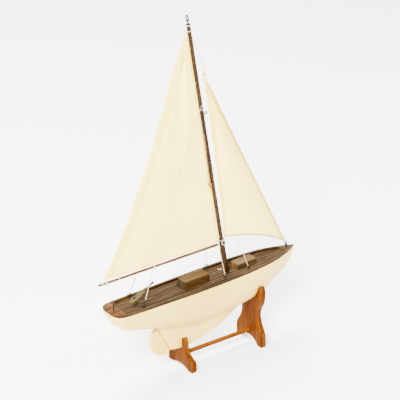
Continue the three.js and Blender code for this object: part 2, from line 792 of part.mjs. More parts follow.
// Straight thread that stops short of what it is tied to, at both ends.
function thread(name, from, to, short = 1.6) {
  const along = new THREE.Vector3().subVectors(to, from).normalize();
  const start = from.clone().addScaledVector(along, short);
  const end = to.clone().addScaledVector(along, -short);
  add(name, bar(start, end, threadRadius, threadRadius, 8), whiteThread);
}

const ringOf = (foot, height = eyeHeight) => foot.clone().add(new THREE.Vector3(0, 0, height));

// Wire hook that joins a stay's thread to its screw eye.
function stayHook(name, eye, toward) {
  const along = new THREE.Vector3().subVectors(toward, eye).normalize();
  const from = eye.clone().addScaledVector(along, 4.8);
  const to = eye.clone().addScaledVector(along, 14);
  add(name, bar(from, to, 0.7, 0.7, 8), steel);
  return to;
}

function buildRigging() {
  const besideMast = (height, forward, side) =>
    mastPoint(height, forward, side * (mastRadiusAt(height) + threadRadius + gap));
  thread('shroud_port', ringOf(shroudFootPort), besideMast(shroudHeight, 0, 1), 4.6);
  thread('downhaul_starboard', ringOf(shroudFootStarboard), downhaulTop, 4.6);
  for (const [side, sign, backstayFoot] of [
    ['port', 1, backstayFootPort],
    ['starboard', -1, backstayFootStarboard],
  ]) {
    const aftTop = besideMast(backstayHeight, -1, sign);
    const hookEnd = stayHook(`backstay_hook_${side}`, ringOf(backstayFoot), aftTop);
    thread(`backstay_${side}`, hookEnd, aftTop, 1.6);
  }
  const lowerTop = besideMast(lowerStayHeight, 1, -1);
  thread('lower_stay_starboard', ringOf(foreFoot, 6.4), lowerTop, 3.8);

  const halyardTop = mastPoint(halyardHeight, mastRadiusAt(halyardHeight));
  const rollTip = jibHead.clone().add(jibRoll);
  thread('jib_halyard', rollTip.add(new THREE.Vector3(-2, 0, 1.5)), halyardTop, 1.6);

  const tackLine = ringOf(bowFoot, 6.4);
  const hookFrom = jibTack.clone().add(new THREE.Vector3(1.5, 0, -2));
  const along = new THREE.Vector3().subVectors(tackLine, hookFrom).normalize();
  add('jib_tack_hook', bar(
    hookFrom.clone().addScaledVector(along, 1.2),
    tackLine.clone().addScaledVector(along, -4.4),
    0.8,
    0.8,
    8,
  ), steel);

  thread('main_sheet', ringOf(sheetFoot, 14.4), boomAt(boomTipStation + 20), 4.2);
}

buildStand();
buildHull();
buildRudder();
buildTiller();
buildDeck();
buildDeckhouses();
buildEyes();
buildMast();
buildBoom();
buildSails();
buildRigging();

export default model;
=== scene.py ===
import random
from math import cos, hypot, pi, radians, sin, sqrt

import bpy
from mathutils import Matrix, Quaternion, Vector, noise


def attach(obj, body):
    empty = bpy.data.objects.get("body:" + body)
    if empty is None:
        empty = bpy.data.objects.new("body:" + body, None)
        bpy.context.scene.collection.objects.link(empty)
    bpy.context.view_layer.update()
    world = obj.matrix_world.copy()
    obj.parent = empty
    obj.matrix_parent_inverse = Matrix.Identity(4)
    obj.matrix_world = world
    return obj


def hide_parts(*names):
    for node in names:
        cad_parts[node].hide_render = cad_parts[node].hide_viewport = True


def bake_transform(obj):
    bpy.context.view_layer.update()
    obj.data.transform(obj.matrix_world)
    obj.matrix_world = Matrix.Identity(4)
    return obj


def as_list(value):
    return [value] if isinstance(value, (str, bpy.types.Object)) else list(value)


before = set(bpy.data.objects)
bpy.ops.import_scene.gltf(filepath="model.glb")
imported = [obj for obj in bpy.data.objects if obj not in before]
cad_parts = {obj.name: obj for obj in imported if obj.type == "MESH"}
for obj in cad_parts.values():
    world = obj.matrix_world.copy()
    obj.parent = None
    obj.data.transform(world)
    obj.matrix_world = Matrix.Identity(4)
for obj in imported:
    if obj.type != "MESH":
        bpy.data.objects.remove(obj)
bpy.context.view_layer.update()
scene = bpy.context.scene
mm = 0.001

# ---------------- camera, floor and light, in metres

camera_lens, camera_sensor, camera_clip = 144, 36, 50
camera_azimuth, camera_elevation, camera_distance = -36.2, 24.6, 3.3
camera_target = Vector((-0.3, 0, 376.2)) * mm
sky_strength = 1.2
light_target = Vector((0, 0, 0.3))
studio_lights = {  # place, size, power and colour
    "key": ((-3.5, -3.0, 4.2), 1.8, 2300, (1, 0.985, 0.95)),
    "fill": ((4.0, -2.4, 2.5), 3.0, 300, (1, 1, 1)),
    "top": ((-0.6, 1.6, 5.0), 2.5, 1100, (1, 1, 1)),
}
floor_reach = 8


def linked(name, data):
    """New object in the scene."""
    made = bpy.data.objects.new(name, data)
    scene.collection.objects.link(made)
    return made


def make_camera():
    """Camera at the photograph's angle; at azimuth 0 it would look along +Y."""
    data = bpy.data.cameras.new("camera")
    data.sensor_width, data.lens, data.clip_end = camera_sensor, camera_lens, camera_clip
    azimuth, elevation = radians(camera_azimuth), radians(camera_elevation)
    level = cos(elevation)
    right = Vector((cos(azimuth), sin(azimuth), 0))
    back = Vector((sin(azimuth) * level, -cos(azimuth) * level, sin(elevation)))
    turn = Matrix((right, back.cross(right), back)).transposed()
    camera = linked("camera", data)
    camera.matrix_world = Matrix.Translation(camera_target + back * camera_distance) @ turn.to_4x4()
    scene.camera = camera


def make_studio():
    world = bpy.data.worlds.new("studio")
    world.use_nodes = True
    background = world.node_tree.nodes["Background"]
    background.inputs["Color"].default_value = (1, 1, 1, 1)
    background.inputs["Strength"].default_value = sky_strength
    scene.world = world
    for name, (place, size, power, colour) in studio_lights.items():
        data = bpy.data.lights.new(name, "AREA")
        data.size, data.energy, data.color = size, power, colour
        light = linked(name, data)
        light.location = place
        light.rotation_euler = (light_target - Vector(place)).to_track_quat("-Z", "Y").to_euler()
    mesh = bpy.data.meshes.new("floor")
    corners = [(x * floor_reach, y * floor_reach, 0) for x, y in ((-1, -1), (1, -1), (1, 1), (-1, 1))]
    mesh.from_pydata(corners, [], [(0, 1, 2, 3)])
    mesh.materials.append(floor_material())
    linked("floor", mesh)


# ---------------- materials


class Nodes:
    """A small helper for building a material's node tree."""

    def __init__(self, name):
        self.material = bpy.data.materials.new(name)
        self.material.use_nodes = True
        self.tree = self.material.node_tree

    def add(self, kind, values=None, links=None, **settings):
        """Node with its settings, its inputs' values, and the outputs that feed its inputs."""
        node = self.tree.nodes.new(kind)
        for key, value in settings.items():
            setattr(node, key, value)
        return self.fill(node, values or {}, links or {})

    def fill(self, node, values, links):
        for key, value in values.items():
            node.inputs[key].default_value = value
        for key, source in links.items():
            self.tree.links.new(source, node.inputs[key])
        return node

    def coordinates(self, scale=(1, 1, 1), turn=(0, 0, 0)):
        """Object coordinates, stretched by scale along each axis after a turn in degrees."""
        place = self.add("ShaderNodeTexCoord").outputs["Object"]
        turn = [radians(a) for a in turn]
        turned = self.add("ShaderNodeMapping", {"Rotation": turn}, {"Vector": place}).outputs["Vector"]
        return self.add("ShaderNodeMapping", {"Scale": scale}, {"Vector": turned}).outputs["Vector"]

    def noise(self, vector, scale, detail=4.0, distortion=0.0):
        values = {"Scale": scale, "Detail": detail, "Distortion": distortion}
        return self.add("ShaderNodeTexNoise", values, {"Vector": vector}).outputs["Fac"]

    def ramp(self, factor, stops):
        """Colour ramp; stops are (position, (r, g, b))."""
        node = self.add("ShaderNodeValToRGB", links={"Fac": factor})
        elements = node.color_ramp.elements
        while len(elements) < len(stops):
            elements.new(0.5)
        for element, (position, colour) in zip(elements, stops):
            element.position = position
            element.color = (*colour, 1)
        return node.outputs["Color"]

    def multiply(self, share, first, second):
        """First colour times the second, as far as share says."""
        kinds = {"data_type": "RGBA", "blend_type": "MULTIPLY"}
        return self.add("ShaderNodeMix", {"Factor": share}, {6: first, 7: second}, **kinds).outputs[2]

    def range(self, value, low, high):
        """Maps a 0 to 1 value to low to high."""
        ends = {"To Min": low, "To Max": high}
        return self.add("ShaderNodeMapRange", ends, {"Value": value}).outputs["Result"]

    def bump(self, height, strength, distance):
        values = {"Strength": strength, "Distance": distance}
        return self.add("ShaderNodeBump", values, {"Height": height}).outputs["Normal"]

    def finished(self, values, **links):
        """The material, with its shader's even values and the outputs that vary over the surface."""
        links = {key.replace("_", " "): source for key, source in links.items()}
        self.fill(self.tree.nodes["Principled BSDF"], values, links)
        return self.material


def floor_material():
    n = Nodes("floor")
    tone = n.noise(n.coordinates(), 3, 2)
    colour = n.ramp(tone, [(0.0, (0.93, 0.93, 0.93)), (1.0, (0.95, 0.95, 0.95))])
    return n.finished({"Roughness": 0.85}, Base_Color=colour)


white = (1.0, 1.0, 1.0)
grain_stretch = {"x": (1, 12, 12), "z": (12, 12, 1)}


def wood(name, dark, middle, light, rough, along="x", rake=0, gloss=0.07):
    """Wood with grain that runs along an axis: broad figure, fine streaks and pores."""
    n = Nodes(name)
    dark, middle, light = ([part / 1000 for part in colour] for colour in (dark, middle, light))
    vector = n.coordinates(grain_stretch[along], (0, rake, 0))
    figure, streaks, pores = n.noise(vector, 9, 3, 1.2), n.noise(vector, 60, 5, 0.3), n.noise(vector, 260, 2)
    base = n.ramp(figure, [(0.3, dark), (0.5, middle), (0.72, light)])
    shade = n.ramp(streaks, [(0.32, (0.52, 0.5, 0.48)), (0.62, white)])
    return n.finished(
        {"Specular IOR Level": gloss},
        Base_Color=n.multiply(0.75, base, shade),
        Roughness=n.range(streaks, rough - 0.08, rough + 0.12),
        Normal=n.bump(pores, 0.25, 0.0004),
    )


def painted(name):
    """Satin cream paint over carved wood, slightly yellowed and uneven."""
    n = Nodes(name)
    plain = n.coordinates()
    broad, mottled = n.noise(plain, 7, 4, 0.4), n.noise(plain, 45, 5)
    brushed = n.noise(n.coordinates((2, 14, 14)), 30, 4)
    base = n.ramp(broad, [(0.3, (0.58, 0.37, 0.055)), (0.55, (0.67, 0.45, 0.08)), (0.75, (0.71, 0.49, 0.10))])
    stain = n.ramp(mottled, [(0.3, (0.93, 0.9, 0.84)), (0.6, white)])
    return n.finished(
        {"Coat Weight": 0.06, "Coat Roughness": 0.3, "Specular IOR Level": 0.3},
        Base_Color=n.multiply(0.8, base, stain),
        Roughness=n.range(mottled, 0.36, 0.55),
        Normal=n.bump(brushed, 0.22, 0.0005),
    )


def cotton(name, warm):
    """Unbleached cotton: a plain weave of thread, small slubs and a soft uneven tone."""
    n = Nodes(name)
    plain = n.coordinates()
    tone, slubs = n.noise(plain, 9, 4, 0.5), n.noise(n.coordinates((40, 40, 3)), 9, 4)
    low = (0.88 - 0.06 * warm, 0.68 - 0.07 * warm, 0.15 - 0.05 * warm)
    high = (0.95 - 0.06 * warm, 0.78 - 0.07 * warm, 0.21 - 0.06 * warm)
    base = n.ramp(tone, [(0.3, low), (0.7, high)])
    yarn = n.ramp(slubs, [(0.3, (0.93, 0.91, 0.87)), (0.6, white)])
    weave = {"Scale": 520, "Distortion": 1.2, "Detail": 1}
    warp, weft = (n.add("ShaderNodeTexWave", weave, {"Vector": plain}, bands_direction=way) for way in "ZX")
    threads = {0: warp.outputs["Fac"], 1: weft.outputs["Fac"]}
    crossing = n.add("ShaderNodeMath", None, threads, operation="ADD").outputs[0]
    return n.finished(
        {"Roughness": 0.9, "Specular IOR Level": 0.2},
        Base_Color=n.multiply(0.7, base, yarn), Normal=n.bump(crossing, 0.35, 0.00025),
    )


def twine(name, dark, light):
    """Cotton thread with a little soiling and fuzz."""
    n = Nodes(name)
    plain = n.coordinates()
    tone, fibre = n.noise(plain, 160, 3), n.noise(plain, 1500, 3)
    return n.finished(
        {"Roughness": 0.85, "Specular IOR Level": 0.2},
        Base_Color=n.ramp(tone, [(0.3, dark), (0.7, light)]), Normal=n.bump(fibre, 0.5, 0.0003),
    )


def metal(name, dark, light, rough):
    """Dull bent wire or turned metal with light tarnish."""
    n = Nodes(name)
    tarnish, scratches = n.noise(n.coordinates(), 220, 4), n.noise(n.coordinates((6, 6, 60)), 40, 3)
    return n.finished(
        {"Metallic": 1.0},
        Base_Color=n.ramp(tarnish, [(0.35, dark), (0.7, light)]),
        Roughness=n.range(tarnish, rough - 0.08, rough + 0.15),
        Normal=n.bump(scratches, 0.15, 0.0002),
    )


woods = {  # dark, middle and light colour in thousandths, roughness; then grain, its rake and gloss
    "deck_wood": ((18, 9, 3), (37, 20.5, 8.5), (62, 38, 18), 0.6),
    "caulk": ((2, 1, 0.5), (4, 2, 1), (8, 4, 2), 0.7),
    "rail_wood": ((20, 11, 4), (42, 25, 10), (70, 45, 20), 0.5),
    "block_wood": ((36, 13, 3), (75, 30, 8), (120, 55, 17), 0.5),
    "roof_wood": ((26, 13, 3), (50, 27, 6), (80, 47, 13), 0.5),
    # The next wood is the cabin sides' own darker stain; on the rails and the stern cap it darkens the side
    # faces as painted shade
    "side_stain_and_shade_wood": ((9, 3.5, 0.5), (22, 9, 1), (44, 20, 3), 0.45),
    "end_wood": ((10, 6, 2), (20, 13.5, 5), (34, 24, 10), 0.55, "z"),
    "hatch_roof_wood": ((36, 19, 7), (66, 39, 15), (100, 64, 27), 0.5),
    "hatch_side_wood": ((13, 6, 1.5), (30, 14, 4), (56, 29, 9), 0.5),
    "hatch_end_wood": ((26, 10, 2.4), (54, 22, 6), (88, 40, 12), 0.5),
    "spar_wood": ((9, 3, 0.6), (24, 9, 1.8), (50, 21, 5), 0.45, "z", 9.8),
    "boom_wood": ((35, 12, 2), (75, 30, 6), (130, 58, 14), 0.45),
    "olive_wood": ((25, 17, 5), (52, 37, 12), (85, 64, 23), 0.45, "x", -28.6),
    "stand_wood": ((28, 5, 0.3), (78, 19.5, 0.8), (140, 43, 2), 0.4, "z", 0, 0.015),
    "dowel_wood": ((45, 10, 0.3), (95, 26, 0.8), (160, 52, 2), 0.4, "x", 0, 0.015),
}
cottons = {"sail_cloth": 0.0, "hem_cloth": 1.2, "jib_hem_cloth": 2.1, "seam_cloth": 2.6}
twines = {
    "white_thread": ((0.22, 0.17, 0.10), (0.46, 0.39, 0.26)),
    "tan_thread": ((0.018, 0.01, 0.003), (0.06, 0.036, 0.013)),
    # The next thread is the cream thread painted much darker: painted shade, for lines seen in shade against
    # the white floor
    "grey_thread": ((0.02, 0.017, 0.012), (0.075, 0.065, 0.05)),
    "old_thread": ((0.16, 0.07, 0.008), (0.34, 0.17, 0.025)),
}
metals = {
    "steel": ((0.006, 0.004, 0.003), (0.045, 0.036, 0.026), 0.5),
    "brass": ((0.25, 0.17, 0.06), (0.55, 0.42, 0.18), 0.35),
    "lead": ((0.08, 0.08, 0.085), (0.2, 0.2, 0.21), 0.6),
}
looks = {"cream_paint": painted("cream_paint")}
looks.update({name: wood(name, *row) for name, row in woods.items()})
looks.update({name: cotton(name, warm) for name, warm in cottons.items()})
looks.update({name: twine(name, *row) for name, row in twines.items()})
looks.update({name: metal(name, *row) for name, row in metals.items()})

# ---------------- mesh helpers, in millimetres

y_axis, z_axis = Vector((0, 1, 0)), Vector((0, 0, 1))


def add_piece(name, solid, look, body="boat", node=None, sharp=35, blend=None):
    """Makes a mesh piece that rides on a body and may stand for a CAD node."""
    points, faces = solid
    mesh = bpy.data.meshes.new(name)
    mesh.from_pydata([tuple(Vector(p) * mm) for p in points], [], faces)
    mesh.validate()
    names = [look] if isinstance(look, str) else look
    for each in names:
        mesh.materials.append(looks[each])
    mesh.shade_smooth()
    mesh.set_sharp_from_angle(angle=radians(sharp))
    piece = linked(name, mesh)
    if blend:
        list(blend)
        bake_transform(piece)
    else:
        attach(piece, body)
    if node:
        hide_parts(node)
    return piece


def bevel(piece, width, segments=3, angle=35):
    """Rounds a piece's sharp edges."""
    modifier = piece.modifiers.new("rounded_edges", "BEVEL")
    modifier.width = width * mm
    modifier.segments = segments
    modifier.limit_method = "ANGLE"
    modifier.angle_limit = radians(angle)
    modifier.harden_normals = True


def facing_out(points, faces):
    """Turns every face over if the solid is inside out."""
    volume = 0
    for face in faces:
        a = Vector(points[face[0]])
        for i, j in zip(face[1:], face[2:]):
            volume += a.dot(Vector(points[i]).cross(Vector(points[j])))
    if volume < 0:
        faces = [tuple(reversed(face)) for face in faces]
    return points, faces


def loft(rings, closed=False):
    """Solid through a row of rings with equally many points; closed joins the last to the first."""
    sides, count = len(rings[0]), len(rings)
    faces = []
    for r in range(count if closed else count - 1):
        following = (r + 1) % count
        shift = 0 if following else min(range(sides), key=lambda k: (rings[0][k] - rings[-1][0]).length)
        for s in range(sides):
            t = (s + 1) % sides
            faces.append((r * sides + s, r * sides + t,
                          following * sides + (t + shift) % sides, following * sides + (s + shift) % sides))
    if not closed:
        last = (count - 1) * sides
        faces += [tuple(reversed(range(sides))), tuple(range(last, last + sides))]
    return facing_out([p for ring in rings for p in ring], faces)


def merged(*solids):
    """Several solids' points and faces as one list."""
    points, faces = [], []
    for more_points, more_faces in solids:
        start = len(points)
        points.extend(more_points)
        faces.extend(tuple(i + start for i in face) for face in more_faces)
    return points, faces


def spread(start, end, count):
    """Evenly spread values from start to end."""
    return [start + (end - start) * i / count for i in range(count + 1)]


def shares(count):
    return [i / count for i in range(count + 1)]


def sideways(along, other=z_axis):
    """Direction square to along and to another, or to X where those two are nearly in line."""
    helper = other if abs(along.dot(other)) < 0.9 else Vector((1, 0, 0))
    return along.cross(helper).normalized()


def polar(side, up, angle, radius):
    return (side * cos(angle) + up * sin(angle)) * radius


def tube(path, radius, sides=12, closed=False):
    """Round tube along points; radius is a number or a function of the share along it."""
    path = [Vector(p) for p in path]
    count = len(path)
    rings, side = [], None
    for i, p in enumerate(path):
        before = path[i - 1] if i or closed else p
        after = path[(i + 1) % count] if i < count - 1 or closed else p
        along = (after - before).normalized()
        if side is None:
            side = sideways(along)
        side = (side - along * side.dot(along)).normalized()
        up = along.cross(side)
        r = radius(i / (count - 1)) if callable(radius) else radius
        rings.append([p + polar(side, up, 2 * pi * s / sides, r) for s in range(sides)])
    return loft(rings, closed)


def turned(path, radii, sides):
    """Round solid with a radius for each point of its path."""
    return tube(path, lambda share: radii[round(share * (len(radii) - 1))], sides)


def circle(centre, normal, radius, count):
    normal = Vector(normal).normalized()
    side = sideways(normal)
    up = normal.cross(side)
    return [Vector(centre) + polar(side, up, 2 * pi * i / count, radius) for i in range(count)]


def smooth_path(points, steps=6):
    """Catmull-Rom curve through points."""
    points = [Vector(p) for p in points]
    out = []
    for i in range(len(points) - 1):
        p0, p1, p2, p3 = points[max(i - 1, 0)], points[i], points[i + 1], points[min(i + 2, len(points) - 1)]
        for t in (s / steps for s in range(steps)):
            out.append(0.5 * (
                2 * p1 + (p2 - p0) * t + (2 * p0 - 5 * p1 + 4 * p2 - p3) * t * t
                + (3 * p1 - p0 - 3 * p2 + p3) * t ** 3
            ))
    return out + [points[-1]]


def outline(start, *steps, count=10):
    """Flat outline: each step is its end point, or its control points and then its end point."""
    points = [Vector(start)]
    for step in steps:
        if not hasattr(step[0], "__len__"):
            points.append(Vector(step))
            continue
        hold = [points[-1]] + [Vector(p) for p in step]
        for share in shares(count)[1:]:
            row = hold
            while len(row) > 1:
                row = [a.lerp(b, share) for a, b in zip(row, row[1:])]
            points.append(row[0])
    return points


def board(shape, thickness, place):
    """Flat board: outline points and a thickness; place turns (a, b, depth) into a point."""
    half = thickness / 2
    return loft([[place(p.x, p.y, depth) for p in shape] for depth in (-half, half)])


def mirrored(half):
    """Outline whose second half is the first one mirrored left to right."""
    other = [Vector((-p.x, p.y)) for p in reversed(half)]
    if abs(half[0].x) < 1e-6:
        other = other[:-1]
    if abs(half[-1].x) < 1e-6:
        other = other[1:]
    return half + other


# ---------------- the boat's lines, in millimetres

mid_station = 226.5
stern_station, bow_station = -6, 480
rail_height, rail_width, rail_lip = 3.1, 6, 1.2
deck_recess, deck_thickness = 5, 3
wall = 4.5
recess_aft, recess_fore = 20, 448
gap = 0.3


def fair(pairs):
    """Smooth curve through (station, value) pairs."""

    def slope(i):
        a, b = pairs[max(i - 1, 0)], pairs[min(i + 1, len(pairs) - 1)]
        return (b[1] - a[1]) / (b[0] - a[0])

    def value(x):
        i = 0
        while i < len(pairs) - 2 and x > pairs[i + 1][0]:
            i += 1
        (x0, y0), (x1, y1) = pairs[i], pairs[i + 1]
        h = x1 - x0
        t = min(max((x - x0) / h, 0), 1)
        t2, t3 = t * t, t ** 3
        return (
            (2 * t3 - 3 * t2 + 1) * y0 + (t3 - 2 * t2 + t) * h * slope(i)
            + (3 * t2 - 2 * t3) * y1 + (t3 - t2) * h * slope(i + 1)
        )

    return value


half_breadth = fair([
    (stern_station, 10), (-4.5, 20), (-1, 27.5), (5, 33), (16, 36), (48, 38), (120, 40), (192, 42),
    (264, 42), (336, 39.5), (408, 30.4), (456, 14), (bow_station, 1),
])
bottom = fair([
    (stern_station, 173), (0, 163), (10, 150), (30, 136), (62, 126.5), (112, 114), (160, 104),
    (205, 98.5), (277, 98.5), (340, 104), (366, 110), (395, 121), (421, 136), (444, 149),
    (463, 163), (473, 174), (bow_station, 189),
])


def sheer(x):
    u = x / bow_station - 0.5
    return 192.2 + 13.6 * u + 9 * u * u


def hull_top(x):
    return sheer(x) - rail_height


def deck_top(x):
    return sheer(x) - deck_recess


def inside_breadth(x, inset):
    slope = (half_breadth(x + 1) - half_breadth(x - 1)) / 2
    return half_breadth(x) - inset * hypot(1, slope)


def at(station, across, height):
    """Point from a station, a half-breadth and a height."""
    return Vector((station - mid_station, across, height))


def on_deck(x, y):
    return at(x, y, deck_top(x) + gap)


def crowded(start, end, count):
    """Stations that crowd together towards both ends."""
    return [start + (end - start) * (1 - cos(pi * i / count)) / 2 for i in range(count + 1)]


# The rudder's stock and the mast are both raked.
stock_top, stock_heel = at(64, 0, 192), at(143, 0, 47)
stock_along = (stock_heel - stock_top).normalized()
tiller_along = Vector((-stock_along.z, 0, stock_along.x))
mast_foot = at(296, 0, 188)
mast_rake = 0.172
mast_up = Vector((-mast_rake, 0, 1)).normalized()
mast_head_height, gooseneck_height = 762, 264
mast_base_radius, mast_radius, mast_head_radius = 6.0, 4.4, 4.1


def stock_point(distance):
    return stock_top + stock_along * distance


def mast_point(height, forward=0.0, across=0.0):
    return mast_foot + Vector((forward - mast_rake * (height - mast_foot.z), across, height - mast_foot.z))


def mast_radius_at(height):
    t = (height - gooseneck_height) / (mast_head_height - gooseneck_height)
    return mast_radius + (mast_head_radius - mast_radius) * min(max(t, 0), 1)


# ---------------- stand

plate_thickness, plate_rounding = 13, 1.6
aft_plate_station, fore_plate_station, seat_station = 180, 365.5, 366
dowel_height, dowel_radius = 28, 5
slot_half = 5.6
seat_top_angle, seat_steps = radians(56), 14


def make_plate(name, node, station, half):
    def place(across, height, depth):
        return Vector((station - mid_station + depth, across, height))

    solid = board(mirrored(half), plate_thickness, place)
    bevel(add_piece(name, solid, "stand_wood", "stand", node), plate_rounding)


def make_stand():
    make_plate("stand_aft", "stand_plate_aft", aft_plate_station, outline(
        (0, 7.5), ((14, 7.5), (29, 0)), (43, 0), (43, 19), ((43, 26), (37, 27)), ((24, 30), (18.5, 41)),
        ((14, 52), (12, 66)), ((11, 70), (slot_half + 2, 70)), ((slot_half, 70), (slot_half, 67)),
        (slot_half, 43.4),
    ))
    low, high = bottom(360) - 0.8, hull_top(seat_station)
    seat = []
    for angle in (seat_top_angle * (1 - share) for share in shares(seat_steps)):
        across = half_breadth(seat_station) * sin(angle)
        seat.append(Vector((across, high - (high - low) * cos(angle))))
    make_plate("stand_fore", "stand_plate_fore", fore_plate_station, outline(
        (0, 16), ((16, 16), (24, 10), (30, 0)), (45, 0), (45, 25), ((45, 38), (27, 50), (26.5, 74)),
        ((26.5, 92), (41, 100), (41, 120)), ((41, 132), (41, 146), (34, 146)),
    ) + seat)
    dowel = tube([at(181.2, 0, dowel_height), at(364.3, 0, dowel_height)], dowel_radius, 40)
    add_piece("stand_rod", dowel, "dowel_wood", "stand", "stand_dowel")


# ---------------- hull, keel and rudder

hull_side_steps, hull_stations, recess_step = 22, 110, 0.01
keel_thickness, keel_edge_share, keel_rounding = 10, 0.87, 3.2
keel_clearance, joint_high, joint_low = 4.6, 80, 164
rudder_thickness, rudder_rounding, nose_radius = 8.4, 2.4, 4.45
leaf_thickness, leaf_rounding = 5, 1.5
tiller_level = -6.5


def hull_ring(x):
    """Cross-section with a trough on top that the deck is let into."""
    breadth, low, high = half_breadth(x), bottom(x), hull_top(x)
    ring = []
    for i in range(-hull_side_steps, hull_side_steps + 1):
        angle = i / hull_side_steps * pi / 2
        ring.append(at(x, -breadth * sin(angle), high - (high - low) * cos(angle)))
    inner = max(inside_breadth(x, wall), breadth * 0.3)
    within = recess_aft < x < recess_fore
    floor = deck_top(x) - deck_thickness - gap if within else high - 0.2
    for across, height in ((-inner, high), (-inner, floor), (inner, floor), (inner, high)):
        ring.append(at(x, across, height))
    return ring


def side_view(point):
    """A point's station and height."""
    return Vector((point.x, point.z)) + Vector((mid_station, 0))


def joint_point(distance):
    """Point of the keel's aft edge, which the rudder turns beside."""
    return stock_point(distance) + tiller_along * keel_clearance


def spare_edges(piece, start):
    """Keeps the bevel off the edges that lie, seen from the side, on a line along the stock."""
    def spared(point):
        flat = Vector((point.x, 0, point.z)) - start
        return (flat - stock_along * flat.dot(stock_along)).length < 0.5

    mesh = piece.data
    weights = mesh.attributes.new("bevel_weight_edge", "FLOAT", "EDGE")
    for edge in mesh.edges:
        ends = [mesh.vertices[i].co / mm for i in edge.vertices]
        weights.data[edge.index].value = 0.0 if all(spared(p) for p in ends) else 1.0
    piece.modifiers["rounded_edges"].limit_method = "WEIGHT"


def make_hull():
    stations = crowded(stern_station, bow_station, hull_stations)
    stations += [end + step for end in (recess_aft, recess_fore) for step in (-recess_step, recess_step)]
    rings = [hull_ring(x) for x in sorted(stations)]
    add_piece("hull", loft(rings), "cream_paint", node="hull_shell", sharp=50)

    shape = outline(
        side_view(joint_point(joint_high)), side_view(joint_point(joint_low)), ((178, 44.2), (202, 48)),
        ((245, 55.5), (282, 70), (318, 94)), (348, 116), count=16,
    )
    thin = {tuple(shape[0]), tuple(shape[1])}

    def place(station, height, depth):
        return at(station, depth * (keel_edge_share if (station, height) in thin else 1), height)

    keel = board(shape, keel_thickness, place)
    piece = add_piece("keel", keel, "cream_paint", node="keel_fin")
    bevel(piece, keel_rounding, 5)
    spare_edges(piece, joint_point(joint_high))


def make_rudder():
    heel = side_view(stock_point(163))
    shape = outline(
        side_view(stock_point(96)), heel, (heel.x - 3, 42.5), ((124, 41), (114, 47.5)),
        ((101, 56), (97, 70), (98.5, 84)), ((100, 96), (103.5, 105)), count=14,
    )
    blade = board(shape, rudder_thickness, lambda a, b, d: at(a, d, b))
    piece = add_piece("rudder", blade, "cream_paint", "rudder", "rudder_blade")
    bevel(piece, rudder_rounding, 4)
    spare_edges(piece, stock_top)
    nose = tube([stock_point(d) for d in (94.5, 96, 161, 162.5)], nose_radius, 40)
    add_piece("rudder_nose", nose, "cream_paint", "rudder")


def make_tiller():
    up = -stock_along
    middle = stock_point(tiller_level)
    leaf = outline(
        (-13, 0), ((-13, 5), (-8, 7.2), (0, 7.2)), ((12, 7.2), (22, 5), (33, 2.8)), (33, -2.8),
        ((22, -5), (12, -7.2), (0, -7.2)), ((-8, -7.2), (-13, -5), (-13, 0)),
    )[:-1]
    solid = board(leaf, leaf_thickness, lambda a, b, d: middle + tiller_along * a + y_axis * b + up * d)
    bevel(add_piece("tiller_leaf", solid, "olive_wood", "rudder", "tiller_head"), leaf_rounding, 4)

    arm = [middle + tiller_along * d for d in (24, 33, 42, 47, 47.6, 48.6, 50, 51.4, 52.2, 52.6)]
    stick = turned(arm, [1.4, 1.6, 1.6, 1.6, 2.0, 2.4, 2.6, 2.3, 1.5, 0.4], 20)
    add_piece("tiller_stick", stick, "spar_wood", "rudder", "tiller_arm", sharp=60)
    washer = turned([middle + up * d for d in (2.7, 2.8, 3.8, 3.9)], [2.8, 3.0, 3.0, 2.8], 28)
    dome = [middle + up * d for d in (3.9, 4.6, 5.2, 5.6, 5.75)]
    dome = tube(dome, lambda s: 2.3 * sqrt(1.02 - s * s), 28)
    add_piece("tiller_washer", merged(washer, dome), "steel", "rudder", "tiller_screw")
    for node, look in (("rudder_stock", "brass"), ("rudder_tube", "brass"), ("keel_ballast", "lead")):
        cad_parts[node].data.materials[0] = looks[look]


# ---------------- deck

plank_width, plank_seam, plank_rounding = 9.0, 2.0, 0.2
sole_depth, plank_depth, facing_thickness = 0.7, 0.8, 0.9
rail_ease, cap_ease, house_rounding = 0.6, 1.1, 0.6
top_facing, roof_facing, aft_facing = 0.85, 0.45, -0.5
house_side = 3
houses = {  # woods are the looks of the sides, the roof and the aft end
    "cabin": dict(
        node="main_cabin", woods=["side_stain_and_shade_wood", "roof_wood", "end_wood"],
        aft=178, fore=243, half=15.5, height=20, bulge=3, lean=2, ease=2.5, end_lean=2,
    ),
    "hatch": dict(
        node="fore_hatch", woods=["hatch_side_wood", "hatch_roof_wood", "hatch_end_wood"],
        aft=318, fore=370, half=13, height=15.5, bulge=0, lean=1, ease=4.5, end_lean=1,
    ),
}


def plank_ring(x, left, right, low, high):
    return [at(x, left, low), at(x, right, low), at(x, right, high), at(x, left, high)]


def span_ring(x, inset, low, high):
    edge = inside_breadth(x, inset)
    return plank_ring(x, -edge, edge, low, high)


def make_deck():
    stations = crowded(recess_aft, recess_fore, 60)
    depths = -deck_thickness, -sole_depth
    sole = [span_ring(x, wall + gap, *(deck_top(x) + depth for depth in depths)) for x in stations]
    add_piece("deck_sole", loft(sole), "caulk", node="deck_planking")

    planks = []
    for i in range(-5, 5):
        rings = []
        for x in stations:
            edge = inside_breadth(x, wall + gap + 0.4)
            left = max(i * plank_width + plank_seam / 2, -edge)
            right = min((i + 1) * plank_width - plank_seam / 2, edge)
            if right - left > 0.6:
                crown = 0.1 * noise.noise(Vector((x * 0.02, i * 3.7, 0)))
                rings.append(plank_ring(x, left, right, deck_top(x) - plank_depth, deck_top(x) + crown))
        if len(rings) > 3:
            planks.append(loft(rings))
    bevel(add_piece("deck_planks", merged(*planks), "deck_wood", sharp=30), plank_rounding, 2)


def eased(ease):
    """How far the points of an eased corner lie in from its side and down from its top."""
    angles = [share * pi / 2 for share in shares(4)]
    return [(ease * (1 - cos(angle)), ease * (1 - sin(angle))) for angle in angles]


